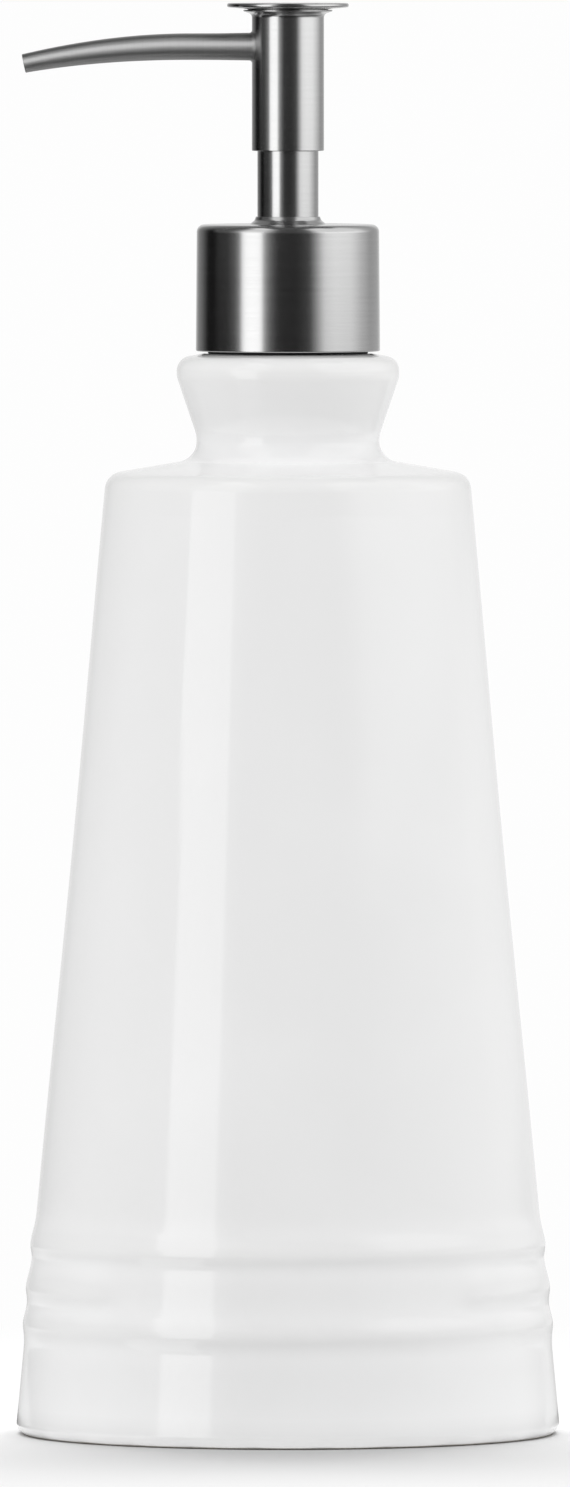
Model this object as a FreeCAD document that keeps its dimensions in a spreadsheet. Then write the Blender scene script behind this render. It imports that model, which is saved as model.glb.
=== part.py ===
import FreeCAD, Part
import math
import os
import re

import Sketcher
from FreeCAD import Vector

# A soap dispenser: a glazed stoneware bottle with a screwed-on steel hand pump.
# Millimetres, +Z up, origin in the middle of the foot, spout along -X, plain front towards -Y.

# Driving sizes, in millimetres unless the name says otherwise.
SIZES = {
    # Bottle
    "base_radius": 41.9,
    "base_round": 2.8,
    "foot_width": 4.5,
    "foot_round": 0.6,
    "foot_recess": 1.2,
    "floor_thickness": 5.0,
    "body_wall": 4.2,
    "inside_round": 6.0,
    "shoulder_radius": 27.95,
    "shoulder_height": 147.6,
    "shoulder_round": 2.8,
    "shoulder_rise": 2.4,
    "shoulder_wall": 4.2,
    "neck_root_round": 2.8,
    "neck_wall": 3.1,
    "waist_height": 3.6,
    "waist_round": 5.0,
    "flank_height": 9.0,
    "lip_flare": 3.05,
    "lip_under_round": 3.0,
    "lip_height": 3.05,
    "lip_round": 1.9,
    "lip_crown": 0.55,
    "rim_margin": 0.6,
    # Rings round the foot of the bottle
    "low_ring_height": 16.2,
    "ring_pitch": 6.4,
    "ring_rise": 0.5,
    "ring_upper_reach": 4.2,
    "ring_lower_reach": 1.5,
    "ring_upper_radius": 25.0,
    "ring_lower_radius": 3.3,
    "ring_root": 0.8,
    "front_gap_degrees": 86.0,
    # Seal and threaded bush in the mouth
    "rim_gasket_thickness": 0.55,
    "mouth_clearance": 0.15,
    "flange_overhang": 1.35,
    "flange_thickness": 0.8,
    "plug_depth": 12.0,
    "plug_chamfer": 0.8,
    "insert_wall": 2.4,
    "neck_gap": 1.3,
    "finish_height": 13.25,
    "thread_pitch": 3.175,
    "thread_depth": 0.9,
    "thread_clearance": 0.25,
    "thread_root_width": 1.4,
    "thread_crest_width": 0.7,
    "thread_turns": 1.5,
    "thread_lead": 0.8,
    "thread_sink": 0.1,
    "cap_thread_turns": 1.0,
    # Collar
    "collar_gap": 0.1,
    "cap_gap": 0.3,
    "cap_wall": 1.4,
    "cap_round": 0.5,
    "web_thickness": 1.4,
    "web_play": 0.05,
    "shell_fit": 0.05,
    "shell_wall": 0.6,
    "shell_draft": 0.15,
    "shell_round": 1.3,
    "shell_hem_round": 0.2,
    "collar_lip_fit": 0.07,
    "collar_lip_wall": 0.2,
    "collar_lip_flare": 0.75,
    "collar_lip_rise": 0.15,
    "ceiling_gap": 0.1,
    # Pump housing and its valve
    "housing_gasket_thickness": 1.0,
    "housing_gasket_fit": 0.1,
    "pump_bore": 6.0,
    "cylinder_wall": 1.1,
    "cylinder_flange_thickness": 1.2,
    "cylinder_round": 1.0,
    "vent_radius": 0.5,
    "ball_radius": 2.4,
    "ball_lift": 1.2,
    "ball_play": 0.1,
    "chamber_gap": 0.7,
    "seat_gap": 0.05,
    "inlet_radius": 1.3,
    "inlet_length": 0.8,
    "retainer_thickness": 1.6,
    "retainer_fit": 0.05,
    "retainer_boss_height": 1.2,
    "retainer_hole_radius": 0.75,
    "retainer_hole_circle": 2.0,
    "retainer_hole_count": 4,
    "dip_radius": 2.5,
    "dip_bore": 1.7,
    "dip_fit": 0.03,
    "dip_socket_depth": 9.0,
    "dip_floor_gap": 3.0,
    "dip_bevel": 2.5,
    # Chaplet and guide tube
    "chaplet_plug_depth": 2.9,
    "chaplet_plug_fit": 0.05,
    "chaplet_hub_overlap": 2.4,
    "chaplet_hub_gap": 0.2,
    "chaplet_flange_overlap": 1.0,
    "chaplet_flange_thickness": 0.8,
    "chaplet_flange_gap": 0.3,
    "chaplet_wall": 0.72,
    "tube_fit": 0.03,
    "tube_wall": 0.35,
    "tube_foot_width": 1.6,
    "tube_foot_thickness": 0.3,
    # Plunger
    "stem_radius": 2.6,
    "stem_bore": 1.3,
    "stem_clearance": 0.08,
    "stem_shoulder_width": 1.4,
    "stem_shoulder_thickness": 1.6,
    "stem_rest_gap": 0.1,
    "port_radius": 0.7,
    "port_margin": 0.4,
    "snap_depth": 0.25,
    "snap_height": 0.8,
    "snap_drop": 3.0,
    "snap_play": 0.06,
    "tip_gap": 0.9,
    "tip_thickness": 1.5,
    "tip_spigot_length": 2.0,
    "tip_pin_length": 2.0,
    "tip_pin_fit": 0.03,
    "tip_seat_gap": 0.03,
    "piston_height": 8.0,
    "piston_lag": 0.8,
    "piston_fit": 0.05,
    "piston_lip_fit": 0.03,
    "piston_lip_height": 0.8,
    "piston_lip_taper": 2.4,
    "piston_waist": 1.1,
    "piston_cavity_width": 1.0,
    "piston_cavity_height": 4.4,
    # Return spring
    "spring_length": 19.5,
    "spring_wire": 0.8,
    "spring_turns": 8,
    "spring_wall_gap": 1.1,
    "spring_seat_gap": 0.05,
    "spring_spigot_gap": 0.3,
    # Head
    "press_stroke": 9.5,
    "press_margin": 0.6,
    "sleeve_gap": 0.35,
    "sleeve_wall": 0.5,
    "sleeve_length": 21.5,
    "sleeve_flare": 1.2,
    "sleeve_flare_edge": 0.15,
    "pad_radius": 9.4,
    "pad_thickness": 1.2,
    "pad_undercut": 0.35,
    "pad_round": 0.4,
    "pad_edge_land": 0.025,
    "pad_spigot_depth": 1.6,
    "pad_fit": 0.05,
    "core_fit": 0.03,
    "core_ledge": 0.8,
    "core_top_gap": 0.1,
    "channel_radius": 1.2,
    "channel_step": 0.2,
    "socket_fit": 0.05,
    "socket_wall": 0.75,
    "socket_gap": 0.2,
    "socket_length": 7.3,
    "stem_entry": 5.8,
    "stem_top_gap": 0.1,
    "spout_drop": 5.5,
    "spout_reach": 40.6,
    "spout_straight": 15.0,
    "spout_tip_drop": 2.6,
    "spout_root_radius": 2.1,
    "spout_knee_radius": 2.05,
    "spout_tip_radius": 1.44,
    "spout_wall": 0.4,
    "spout_fit": 0.03,
    "spout_seat": 2.6,
    # How far a cut runs past the faces that it opens
    "cut_margin": 0.5,
}

# Sizes and places that follow from the driving ones.
DERIVED = {
    # Radii, from the pump outwards
    "cylinder_radius": "pump_bore + cylinder_wall",
    "insert_bore": "cylinder_radius + neck_gap",
    "thread_root": "insert_bore + insert_wall",
    "thread_crest": "thread_root + thread_depth",
    "cap_bore": "thread_crest + thread_clearance",
    "cap_ridge": "thread_root + thread_clearance",
    "cap_radius": "cap_bore + cap_wall",
    "shell_bore": "cap_radius + shell_fit",
    "collar_radius": "shell_bore + shell_wall",
    "mouth_radius": "thread_root + mouth_clearance",
    "flange_radius": "mouth_radius + flange_overhang",
    "waist_radius": "mouth_radius + neck_wall",
    "lip_radius": "waist_radius + lip_flare",
    "rim_land": "flange_radius + rim_margin",
    "cone_drop": "(base_radius - shoulder_radius) / shoulder_height",
    "foot_inner": "base_radius - base_round - foot_width",
    "inside_base": "base_radius - body_wall",
    # Radii, from the stem outwards
    "socket_bore": "stem_radius + socket_fit",
    "socket_radius": "socket_bore + socket_wall",
    "chaplet_bore": "socket_radius + socket_gap",
    "chaplet_neck": "chaplet_bore + chaplet_wall",
    "tube_bore": "chaplet_neck + tube_fit",
    "tube_radius": "tube_bore + tube_wall",
    "collar_lip_bore": "tube_radius + collar_lip_fit",
    "collar_lip_radius": "collar_lip_bore + collar_lip_wall",
    "sleeve_bore": "tube_radius + sleeve_gap",
    "sleeve_radius": "sleeve_bore + sleeve_wall",
    "sleeve_rim": "sleeve_radius + sleeve_flare",
    "core_radius": "sleeve_bore - core_fit",
    "spout_hole": "spout_root_radius + spout_fit",
    "stem_hole": "stem_radius + stem_clearance",
    "stem_shoulder": "stem_radius + stem_shoulder_width",
    "chaplet_hub": "pump_bore + chaplet_hub_overlap",
    "web_hole": "chaplet_hub + chaplet_hub_gap",
    "chaplet_flange": "web_hole + chaplet_flange_overlap",
    "spring_radius": "pump_bore - spring_wall_gap - spring_wire / 2",
    "spring_spigot": "spring_radius - spring_wire / 2 - spring_spigot_gap",
    "chamber_radius": "ball_radius + chamber_gap",
    "dip_socket": "dip_radius + dip_fit",
    "tail_radius": "max(chamber_radius; dip_socket) + cylinder_wall",
    # Heights of the bottle
    "floor_top": "foot_recess + floor_thickness",
    "shoulder_top": "shoulder_height + shoulder_rise",
    "waist_top": "shoulder_top + waist_height",
    "lip_base": "waist_top + flank_height",
    "lip_top": "lip_base + lip_height",
    "rim_top": "lip_top + lip_crown",
    # Heights of the neck and the collar
    "rim_gasket_top": "rim_top + rim_gasket_thickness",
    "flange_top": "rim_gasket_top + flange_thickness",
    "finish_top": "flange_top + finish_height",
    "thread_base": "finish_top - thread_lead - thread_pitch * thread_turns",
    "cap_thread_base": "thread_base + thread_pitch / 2",
    "housing_gasket_top": "finish_top + housing_gasket_thickness",
    "cylinder_top": "housing_gasket_top + cylinder_flange_thickness",
    "web_base": "cylinder_top + web_play",
    "web_top": "web_base + web_thickness",
    "chaplet_flange_base": "web_top + web_play",
    "chaplet_flange_top": "chaplet_flange_base + chaplet_flange_thickness",
    "tube_foot_top": "chaplet_flange_top + tube_foot_thickness",
    "collar_ceiling": "tube_foot_top + ceiling_gap",
    "collar_base": "rim_gasket_top + collar_gap",
    "collar_top": "collar_ceiling + shell_wall",
    "collar_lip_top": "collar_top + collar_lip_flare + collar_lip_rise",
    "cap_base": "flange_top + cap_gap",
    "cap_top": "collar_ceiling - shell_fit",
    # Heights of the head
    "sleeve_base": "collar_lip_top + press_stroke + press_margin",
    "sleeve_top": "sleeve_base + sleeve_length",
    "head_top": "sleeve_top + pad_thickness",
    "pad_spigot_base": "sleeve_top - pad_spigot_depth",
    "core_top": "pad_spigot_base - core_top_gap",
    "spout_height": "sleeve_top - spout_drop",
    "core_base": "spout_height - spout_root_radius - core_ledge",
    "socket_base": "core_base - socket_length",
    "stem_top": "socket_base + stem_entry",
    "snap_top": "stem_top - snap_drop",
    "snap_base": "snap_top - snap_height",
    "tube_top": "core_base - press_stroke - press_margin",
    "counterbore_floor": "socket_base - press_stroke - press_margin",
    # Heights of the plunger, the spring and the inlet valve
    "chaplet_base": "cylinder_top - chaplet_plug_depth",
    "stem_shoulder_top": "chaplet_base - stem_rest_gap",
    "stem_shoulder_base": "stem_shoulder_top - stem_shoulder_thickness",
    "piston_top": "stem_shoulder_base - piston_lag - tip_seat_gap",
    "piston_base": "piston_top - piston_height",
    "stem_base": "piston_base - tip_seat_gap",
    "port_height": "stem_base + tip_pin_length + port_margin + port_radius",
    "tip_base": "stem_base - tip_thickness",
    "retainer_top": "tip_base - spring_length",
    "cylinder_floor": "retainer_top - retainer_thickness",
    "barrel_base": "cylinder_floor - cylinder_wall",
    "ball_height": "cylinder_floor - ball_play - ball_lift - ball_radius",
    "seat_apex": "ball_height - (ball_radius + seat_gap) * sqrt(2)",
    "seat_top": "seat_apex + chamber_radius",
    "seat_base": "seat_apex + inlet_radius",
    "dip_stop": "seat_base - inlet_length",
    "dip_top": "dip_stop - dip_fit",
    "tail_base": "dip_stop - dip_socket_depth",
    "dip_base": "floor_top + dip_floor_gap",
}

POINT_TOLERANCE = 1e-4
LEAST_CUT = 1e-3
GAP_STEPS_PER_TURN = 48

doc = FreeCAD.newDocument("soap_dispenser")
sheet = doc.addObject("Spreadsheet::Sheet", "Sizes")
for row, (alias, number) in enumerate(SIZES.items(), 1):
    sheet.set(f"A{row}", alias)
    sheet.set(f"B{row}", str(number))
    sheet.setAlias(f"B{row}", alias)
doc.recompute()


def expression(text):
    """Write a sum of named sizes as an expression on the cells of the sheet."""

    def cell(match):
        word = match.group(0)
        if word in SIZES:
            return f"Sizes.{word}"
        if word in DERIVED:
            return f"({expression(DERIVED[word])})"
        return word

    return re.sub(r"[a-z_]+", cell, text)


def value(text):
    """Work out a sum of named sizes as a number."""
    return float(sheet.evalExpression(expression(text)))


def cone_radius(height, start="base_radius"):
    """Radius of the bottle's cone at a height, from its radius at the table."""
    return f"{start} - cone_drop * ({height})"


# Helpers that draw and turn the pieces


def new_body(label):
    """Start a body whose label is the piece's name."""
    body = doc.addObject("PartDesign::Body", label)
    body.Label = label
    return body


def new_sketch(body, name, role="XZ_Plane"):
    """Start a sketch on one of the body's own origin planes."""
    sketch = body.newObject("Sketcher::SketchObject", name)
    plane = next(item for item in body.Origin.OriginFeatures if item.Role == role)
    sketch.AttachmentSupport = [(plane, "")]
    sketch.MapMode = "FlatFace"
    return sketch


def bind(sketch, constraint, text):
    """Add a constraint whose size follows the sheet."""
    index = sketch.addConstraint(constraint)
    sketch.setExpression(f"Constraints[{index}]", expression(text))


def pin_point(sketch, geometry, end, across, up):
    """Hold a point at its distance across and up from the origin of its sketch."""
    for axis, line, text in (("DistanceX", -2, across), ("DistanceY", -1, up)):
        if text == "0":
            sketch.addConstraint(Sketcher.Constraint("PointOnObject", geometry, end, line))
        else:
            bind(sketch, Sketcher.Constraint(axis, -1, 1, geometry, end, value(text)), text)


def draw_arc(sketch, start, finish, radius, swells):
    """Draw the short arc from start to finish, swelling out of the outline or hollowed into it.

    Returns its index and the numbers of its end at start and its end at finish.
    """
    chord = finish - start
    left = Vector(-chord.y, chord.x, 0).normalize()
    offset = math.sqrt(radius**2 - (chord.Length / 2) ** 2)
    centre = (start + finish) / 2 + left * (offset if swells else -offset)
    first, last = (start, finish) if swells else (finish, start)
    angles = [math.atan2(point.y - centre.y, point.x - centre.x) for point in (first, last)]
    circle = Part.Circle(centre, Vector(0, 0, 1), radius)
    index = sketch.addGeometry(Part.ArcOfCircle(circle, *angles), False)
    return (index, 1, 2) if swells else (index, 2, 1)


def draw_outline(sketch, corners):
    """Draw a closed outline, anticlockwise, through corners given as texts (across, up).

    A third text is the radius of the arc to the next corner, hollow if it starts with a minus.
    """
    spots = [Vector(value(corner[0]), value(corner[1]), 0) for corner in corners]
    pieces = []
    for number, corner in enumerate(corners):
        start = spots[number]
        finish = spots[(number + 1) % len(spots)]
        if len(corner) == 2:
            pieces.append((sketch.addGeometry(Part.LineSegment(start, finish), False), 1, 2))
        else:
            swells = not corner[2].startswith("-")
            pieces.append(draw_arc(sketch, start, finish, value(corner[2].lstrip("-")), swells))
    for number, (index, _, end) in enumerate(pieces):
        following, head, _ = pieces[(number + 1) % len(pieces)]
        sketch.addConstraint(Sketcher.Constraint("Coincident", index, end, following, head))
    for (index, head, _), corner in zip(pieces, corners):
        pin_point(sketch, index, head, corner[0], corner[1])
        if len(corner) == 3:
            text = corner[2].lstrip("-")
            bind(sketch, Sketcher.Constraint("Radius", index, value(text)), text)


def turn(body, name, corners, role="XZ_Plane", degrees="360"):
    """Turn an outline about the axis, all round or evenly to both sides of its plane."""
    sketch = new_sketch(body, f"{name}_outline", role)
    draw_outline(sketch, corners)
    doc.recompute()
    feature = body.newObject("PartDesign::Revolution", name)
    feature.Profile = (sketch, [""])
    feature.ReferenceAxis = (sketch, ["V_Axis"])
    feature.Midplane = True
    feature.setExpression("Angle", expression(degrees))
    doc.recompute()
    return feature


def turned_body(label, corners):
    """Make a body that is one turned outline."""
    body = new_body(label)
    turn(body, f"{label}_turned", corners)
    return body


def ring_edges(shape, corners):
    """Names of the circular edges of a shape at corners given as texts (radius, height)."""
    names = []
    for radius, height in ((value(across), value(up)) for across, up in corners):
        for number, edge in enumerate(shape.Edges, 1):
            curve = edge.Curve
            if not isinstance(curve, Part.Circle):
                continue
            same_radius = abs(curve.Radius - radius) < POINT_TOLERANCE
            if same_radius and abs(curve.Center.z - height) < POINT_TOLERANCE:
                names.append(f"Edge{number}")
    if len(names) < len(corners):
        raise ValueError(f"found {len(names)} of {len(corners)} round edges")
    return names


def soften(body, name, size, corners, kind="Fillet"):
    """Round or chamfer the round edges at the given corners."""
    base = body.Tip
    feature = body.newObject(f"PartDesign::{kind}", name)
    feature.Base = (base, ring_edges(base.Shape, corners))
    feature.setExpression("Radius" if kind == "Fillet" else "Size", expression(size))
    doc.recompute()


def cut(body, name, sketch, length, reverse=False, both_ways=False):
    """Cut a sketch into a body, and make sure that it took something away."""
    before = body.Shape.Volume
    feature = body.newObject("PartDesign::Pocket", name)
    feature.Profile = (sketch, [""])
    feature.Midplane = both_ways
    feature.Reversed = reverse
    feature.setExpression("Length", expression(length))
    doc.recompute()
    if before - body.Shape.Volume < LEAST_CUT:
        raise ValueError(f"{name} cuts nothing")
    return feature


def drill(body, name, radius, height, length, start="0", reverse=False, both_ways=False):
    """Drill a round hole along X at a height, towards -X unless reversed, from a distance start."""
    sketch = new_sketch(body, f"{name}_circle", "YZ_Plane")
    sketch.setExpression("AttachmentOffset.Base.z", expression(start))
    circle = Part.Circle(Vector(0, value(height), 0), Vector(0, 0, 1), value(radius))
    index = sketch.addGeometry(circle, False)
    pin_point(sketch, index, 3, "0", height)
    bind(sketch, Sketcher.Constraint("Radius", index, value(radius)), radius)
    doc.recompute()
    cut(body, name, sketch, length, reverse, both_ways)


def wind_thread(body, name, sunk, root, crest, base, turns):
    """Wind a screw ridge on a body, from a radius sunk in its wall over its root to its crest."""
    half_root = "thread_root_width / 2"
    half_crest = "thread_crest_width / 2"
    outline = [
        (sunk, f"{base} - {half_root}"),
        (root, f"{base} - {half_root}"),
        (crest, f"{base} - {half_crest}"),
        (crest, f"{base} + {half_crest}"),
        (root, f"{base} + {half_root}"),
        (sunk, f"{base} + {half_root}"),
    ]
    sketch = new_sketch(body, f"{name}_outline")
    draw_outline(sketch, outline)
    doc.recompute()
    feature = body.newObject("PartDesign::AdditiveHelix", name)
    feature.Profile = (sketch, [""])
    feature.ReferenceAxis = (sketch, ["V_Axis"])
    feature.Mode = "pitch-turns-angle"
    feature.setExpression("Pitch", expression("thread_pitch"))
    feature.setExpression("Turns", expression(turns))
    doc.recompute()


# Bottle


def add_ring(body, name, height, role="XZ_Plane", degrees="360"):
    """Raise a low ring on the cone: a long hollow flank above its crest and a short full one below."""
    above = f"{height} + ring_upper_reach"
    below = f"{height} - ring_lower_reach"
    outline = [
        (f"{cone_radius(below)} - ring_root", below),
        (cone_radius(below), below, "ring_lower_radius"),
        (f"{cone_radius(height)} + ring_rise", height, "-ring_upper_radius"),
        (cone_radius(above), above),
        (f"{cone_radius(above)} - ring_root", above),
    ]
    turn(body, name, outline, role, degrees)


def make_bottle_body():
    """Stoneware cone with a flat shoulder, a waisted neck and a rolled lip, hollow inside."""
    inside_top = "shoulder_height - shoulder_wall"
    mouth_base = "shoulder_top - shoulder_wall"
    outer = {
        "base": ("base_radius", "0"),
        "shoulder": ("shoulder_radius", "shoulder_height"),
        "neck_root": ("waist_radius", "shoulder_top"),
        "waist": ("waist_radius", "waist_top"),
        "lip_under": ("lip_radius", "lip_base"),
        "lip_edge": ("lip_radius", "lip_top"),
    }
    inner = {
        "inside_shoulder": (cone_radius(inside_top, "inside_base"), inside_top),
        "inside_floor": (cone_radius("floor_top", "inside_base"), "floor_top"),
    }
    body = turned_body("bottle_body", [
        ("foot_inner", "0"),
        *outer.values(),
        ("rim_land", "rim_top"),
        ("mouth_radius", "rim_top"),
        ("mouth_radius", mouth_base),
        *inner.values(),
        ("0", "floor_top"),
        ("0", "foot_recess"),
        ("foot_inner", "foot_recess"),
    ])
    soften(body, "bottle_inside_rounds", "inside_round", list(inner.values()))
    soften(body, "bottle_base_round", "base_round", [outer["base"]])
    soften(body, "bottle_foot_round", "foot_round", [("foot_inner", "0")])
    soften(body, "bottle_shoulder_round", "shoulder_round", [outer["shoulder"]])
    soften(body, "bottle_neck_round", "neck_root_round", [outer["neck_root"]])
    soften(body, "bottle_waist_round", "waist_round", [outer["waist"]])
    soften(body, "bottle_lip_under_round", "lip_under_round", [outer["lip_under"]])
    soften(body, "bottle_lip_round", "lip_round", [outer["lip_edge"]])
    add_ring(body, "low_ring", "low_ring_height")
    add_ring(body, "middle_ring", "low_ring_height + ring_pitch", "YZ_Plane", "360 - front_gap_degrees")
    add_ring(body, "top_ring", "low_ring_height + 2 * ring_pitch")
    return body


def make_rim_gasket():
    """Flat seal between the lip of the bottle and the flange of the threaded bush."""
    return turned_body("rim_gasket", [
        ("mouth_radius", "rim_top"),
        ("flange_radius", "rim_top"),
        ("flange_radius", "rim_gasket_top"),
        ("mouth_radius", "rim_gasket_top"),
    ])


def make_neck_insert():
    """Threaded bush that is bonded in the mouth of the bottle."""
    plug_base = "rim_top - plug_depth"
    body = turned_body("neck_insert", [
        ("insert_bore", plug_base),
        ("thread_root", plug_base),
        ("thread_root", "rim_gasket_top"),
        ("flange_radius", "rim_gasket_top"),
        ("flange_radius", "flange_top"),
        ("thread_root", "flange_top"),
        ("thread_root", "finish_top"),
        ("insert_bore", "finish_top"),
    ])
    soften(body, "insert_plug_chamfer", "plug_chamfer", [("thread_root", plug_base)], "Chamfer")
    wind_thread(body, "insert_thread", "thread_root - thread_sink", "thread_root", "thread_crest",
                "thread_base", "thread_turns")
    return body


# Collar


def make_screw_cap():
    """Threaded cap inside the steel collar, whose web holds the pump housing down."""
    rim_bore = "chaplet_flange + chaplet_flange_gap"
    body = turned_body("screw_cap", [
        ("cap_bore", "cap_base"),
        ("cap_radius", "cap_base"),
        ("cap_radius", "cap_top"),
        (rim_bore, "cap_top"),
        (rim_bore, "web_top"),
        ("web_hole", "web_top"),
        ("web_hole", "web_base"),
        ("cap_bore", "web_base"),
    ])
    soften(body, "cap_edge_round", "max(cap_round; shell_round - shell_wall + shell_fit)",
           [("cap_radius", "cap_top")])
    wind_thread(body, "cap_thread", "cap_bore + thread_sink", "cap_bore", "cap_ridge",
                "cap_thread_base", "cap_thread_turns")
    return body


def make_collar_shell():
    """Drawn steel collar over the screw cap, with a flared lip round the guide tube."""
    foot = ("collar_radius + shell_draft", "collar_base")
    shoulder = ("collar_radius", "collar_top")
    ceiling = ("shell_bore", "collar_ceiling")
    body = turned_body("collar_shell", [
        ("shell_bore", "collar_base"),
        foot,
        shoulder,
        ("collar_lip_radius + collar_lip_flare", "collar_top", "-collar_lip_flare"),
        ("collar_lip_radius", "collar_top + collar_lip_flare"),
        ("collar_lip_radius", "collar_lip_top"),
        ("collar_lip_bore", "collar_lip_top"),
        ("collar_lip_bore", "collar_ceiling"),
        ceiling,
    ])
    soften(body, "collar_edge_round", "shell_round", [shoulder])
    soften(body, "collar_inside_round", "max(shell_round - shell_wall; shell_hem_round)", [ceiling])
    soften(body, "collar_hem_round", "shell_hem_round", [foot])
    return body


# Pump


def make_housing_gasket():
    """Ring that seals the flange of the housing on the neck."""
    bore = "cylinder_radius + housing_gasket_fit"
    return turned_body("housing_gasket", [
        (bore, "finish_top"),
        ("thread_root", "finish_top"),
        ("thread_root", "housing_gasket_top"),
        (bore, "housing_gasket_top"),
    ])


def make_pump_cylinder():
    """Pump housing: flange, bore, ball seat and the socket of the dip tube."""
    body = turned_body("pump_cylinder", [
        ("dip_socket", "tail_base"),
        ("tail_radius", "tail_base"),
        ("tail_radius", "barrel_base"),
        ("cylinder_radius", "barrel_base"),
        ("cylinder_radius", "housing_gasket_top"),
        ("thread_root", "housing_gasket_top"),
        ("thread_root", "cylinder_top"),
        ("pump_bore", "cylinder_top"),
        ("pump_bore", "cylinder_floor"),
        ("chamber_radius", "cylinder_floor"),
        ("chamber_radius", "seat_top"),
        ("inlet_radius", "seat_base"),
        ("inlet_radius", "dip_stop"),
        ("dip_socket", "dip_stop"),
    ])
    soften(body, "cylinder_foot_round", "cylinder_round", [("cylinder_radius", "barrel_base")])
    drill(body, "vent", "vent_radius", "piston_top - piston_height / 2", "cylinder_radius + cut_margin",
          reverse=True)
    return body


def make_chaplet():
    """Cap of the housing: guides the stem, holds the screw cap captive and carries the guide tube."""
    plug = "pump_bore - chaplet_plug_fit"
    return turned_body("chaplet", [
        ("stem_hole", "chaplet_base"),
        (plug, "chaplet_base"),
        (plug, "cylinder_top"),
        ("chaplet_hub", "cylinder_top"),
        ("chaplet_hub", "chaplet_flange_base"),
        ("chaplet_flange", "chaplet_flange_base"),
        ("chaplet_flange", "chaplet_flange_top"),
        ("chaplet_neck", "chaplet_flange_top"),
        ("chaplet_neck", "tube_top"),
        ("chaplet_bore", "tube_top"),
        ("chaplet_bore", "counterbore_floor"),
        ("stem_hole", "counterbore_floor"),
    ])


def make_guide_tube():
    """Steel tube on the neck of the chaplet, with a flat foot under the collar."""
    foot = "tube_radius + tube_foot_width"
    return turned_body("guide_tube", [
        ("tube_bore", "chaplet_flange_top"),
        (foot, "chaplet_flange_top"),
        (foot, "tube_foot_top"),
        ("tube_radius", "tube_foot_top"),
        ("tube_radius", "tube_top"),
        ("tube_bore", "tube_top"),
    ])


def make_ball_retainer():
    """Spring seat with a ring of holes, which also stops the inlet ball."""
    rim = "pump_bore - retainer_fit"
    boss_top = "retainer_top + retainer_boss_height"
    body = turned_body("ball_retainer", [
        ("0", "cylinder_floor"),
        (rim, "cylinder_floor"),
        (rim, "retainer_top"),
        ("spring_spigot", "retainer_top"),
        ("spring_spigot", boss_top),
        ("0", boss_top),
    ])
    sketch = new_sketch(body, "flow_hole_circle", "XY_Plane")
    sketch.setExpression("AttachmentOffset.Base.z", expression("cylinder_floor"))
    centre = Vector(value("retainer_hole_circle"), 0, 0)
    circle = Part.Circle(centre, Vector(0, 0, 1), value("retainer_hole_radius"))
    index = sketch.addGeometry(circle, False)
    pin_point(sketch, index, 3, "retainer_hole_circle", "0")
    bind(sketch, Sketcher.Constraint("Radius", index, value("retainer_hole_radius")), "retainer_hole_radius")
    doc.recompute()
    depth = "retainer_thickness + retainer_boss_height + cut_margin"
    hole = cut(body, "flow_hole", sketch, depth, reverse=True)
    pattern = body.newObject("PartDesign::PolarPattern", "flow_holes")
    pattern.Originals = [hole]
    pattern.Axis = (sketch, ["N_Axis"])
    pattern.Angle = 360
    pattern.setExpression("Occurrences", expression("retainer_hole_count"))
    body.Tip = pattern
    doc.recompute()
    return body


def make_inlet_ball():
    """Ball of the inlet valve, on its seat."""
    ball = doc.addObject("Part::Sphere", "inlet_ball")
    ball.Label = "inlet_ball"
    ball.setExpression("Radius", expression("ball_radius"))
    ball.setExpression("Placement.Base.z", expression("ball_height"))
    doc.recompute()
    return ball


def make_dip_tube():
    """Suction tube from the housing to the floor of the bottle, cut slantwise at its foot."""
    body = turned_body("dip_tube", [
        ("dip_bore", "dip_base"),
        ("dip_radius", "dip_base"),
        ("dip_radius", "dip_top"),
        ("dip_bore", "dip_top"),
    ])
    sketch = new_sketch(body, "dip_bevel_outline")
    draw_outline(sketch, [
        ("-dip_radius - cut_margin", "dip_base - cut_margin"),
        ("dip_radius + cut_margin", "dip_base - cut_margin"),
        ("dip_radius + cut_margin", "dip_base + dip_bevel"),
        ("-dip_radius - cut_margin", "dip_base"),
    ])
    doc.recompute()
    cut(body, "dip_bevel_cut", sketch, "2 * (dip_radius + cut_margin)", both_ways=True)
    return body


def tangent_arcs(start, start_way, finish, finish_way):
    """Two arcs in space that leave start one way, arrive at finish another, and join smoothly."""
    across = finish - start
    ways = start_way + finish_way
    square = ways.dot(ways) - 4
    linear = -2 * across.dot(ways)
    reach = (-linear - math.sqrt(linear**2 - 4 * square * across.dot(across))) / (2 * square)
    first = start + start_way * reach
    second = finish - finish_way * reach
    joint = (first + second) / 2
    edges = []
    for head, corner, tail in ((start, first, joint), (joint, second, finish)):
        middle = (head + tail) / 2
        half = (tail - head).Length / 2
        rise = (corner - middle).Length
        bulge = half * math.tan(math.atan2(rise, half) / 2)
        edges.append(Part.Arc(head, middle + (corner - middle) * (bulge / rise), tail).toShape())
    return edges


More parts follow.
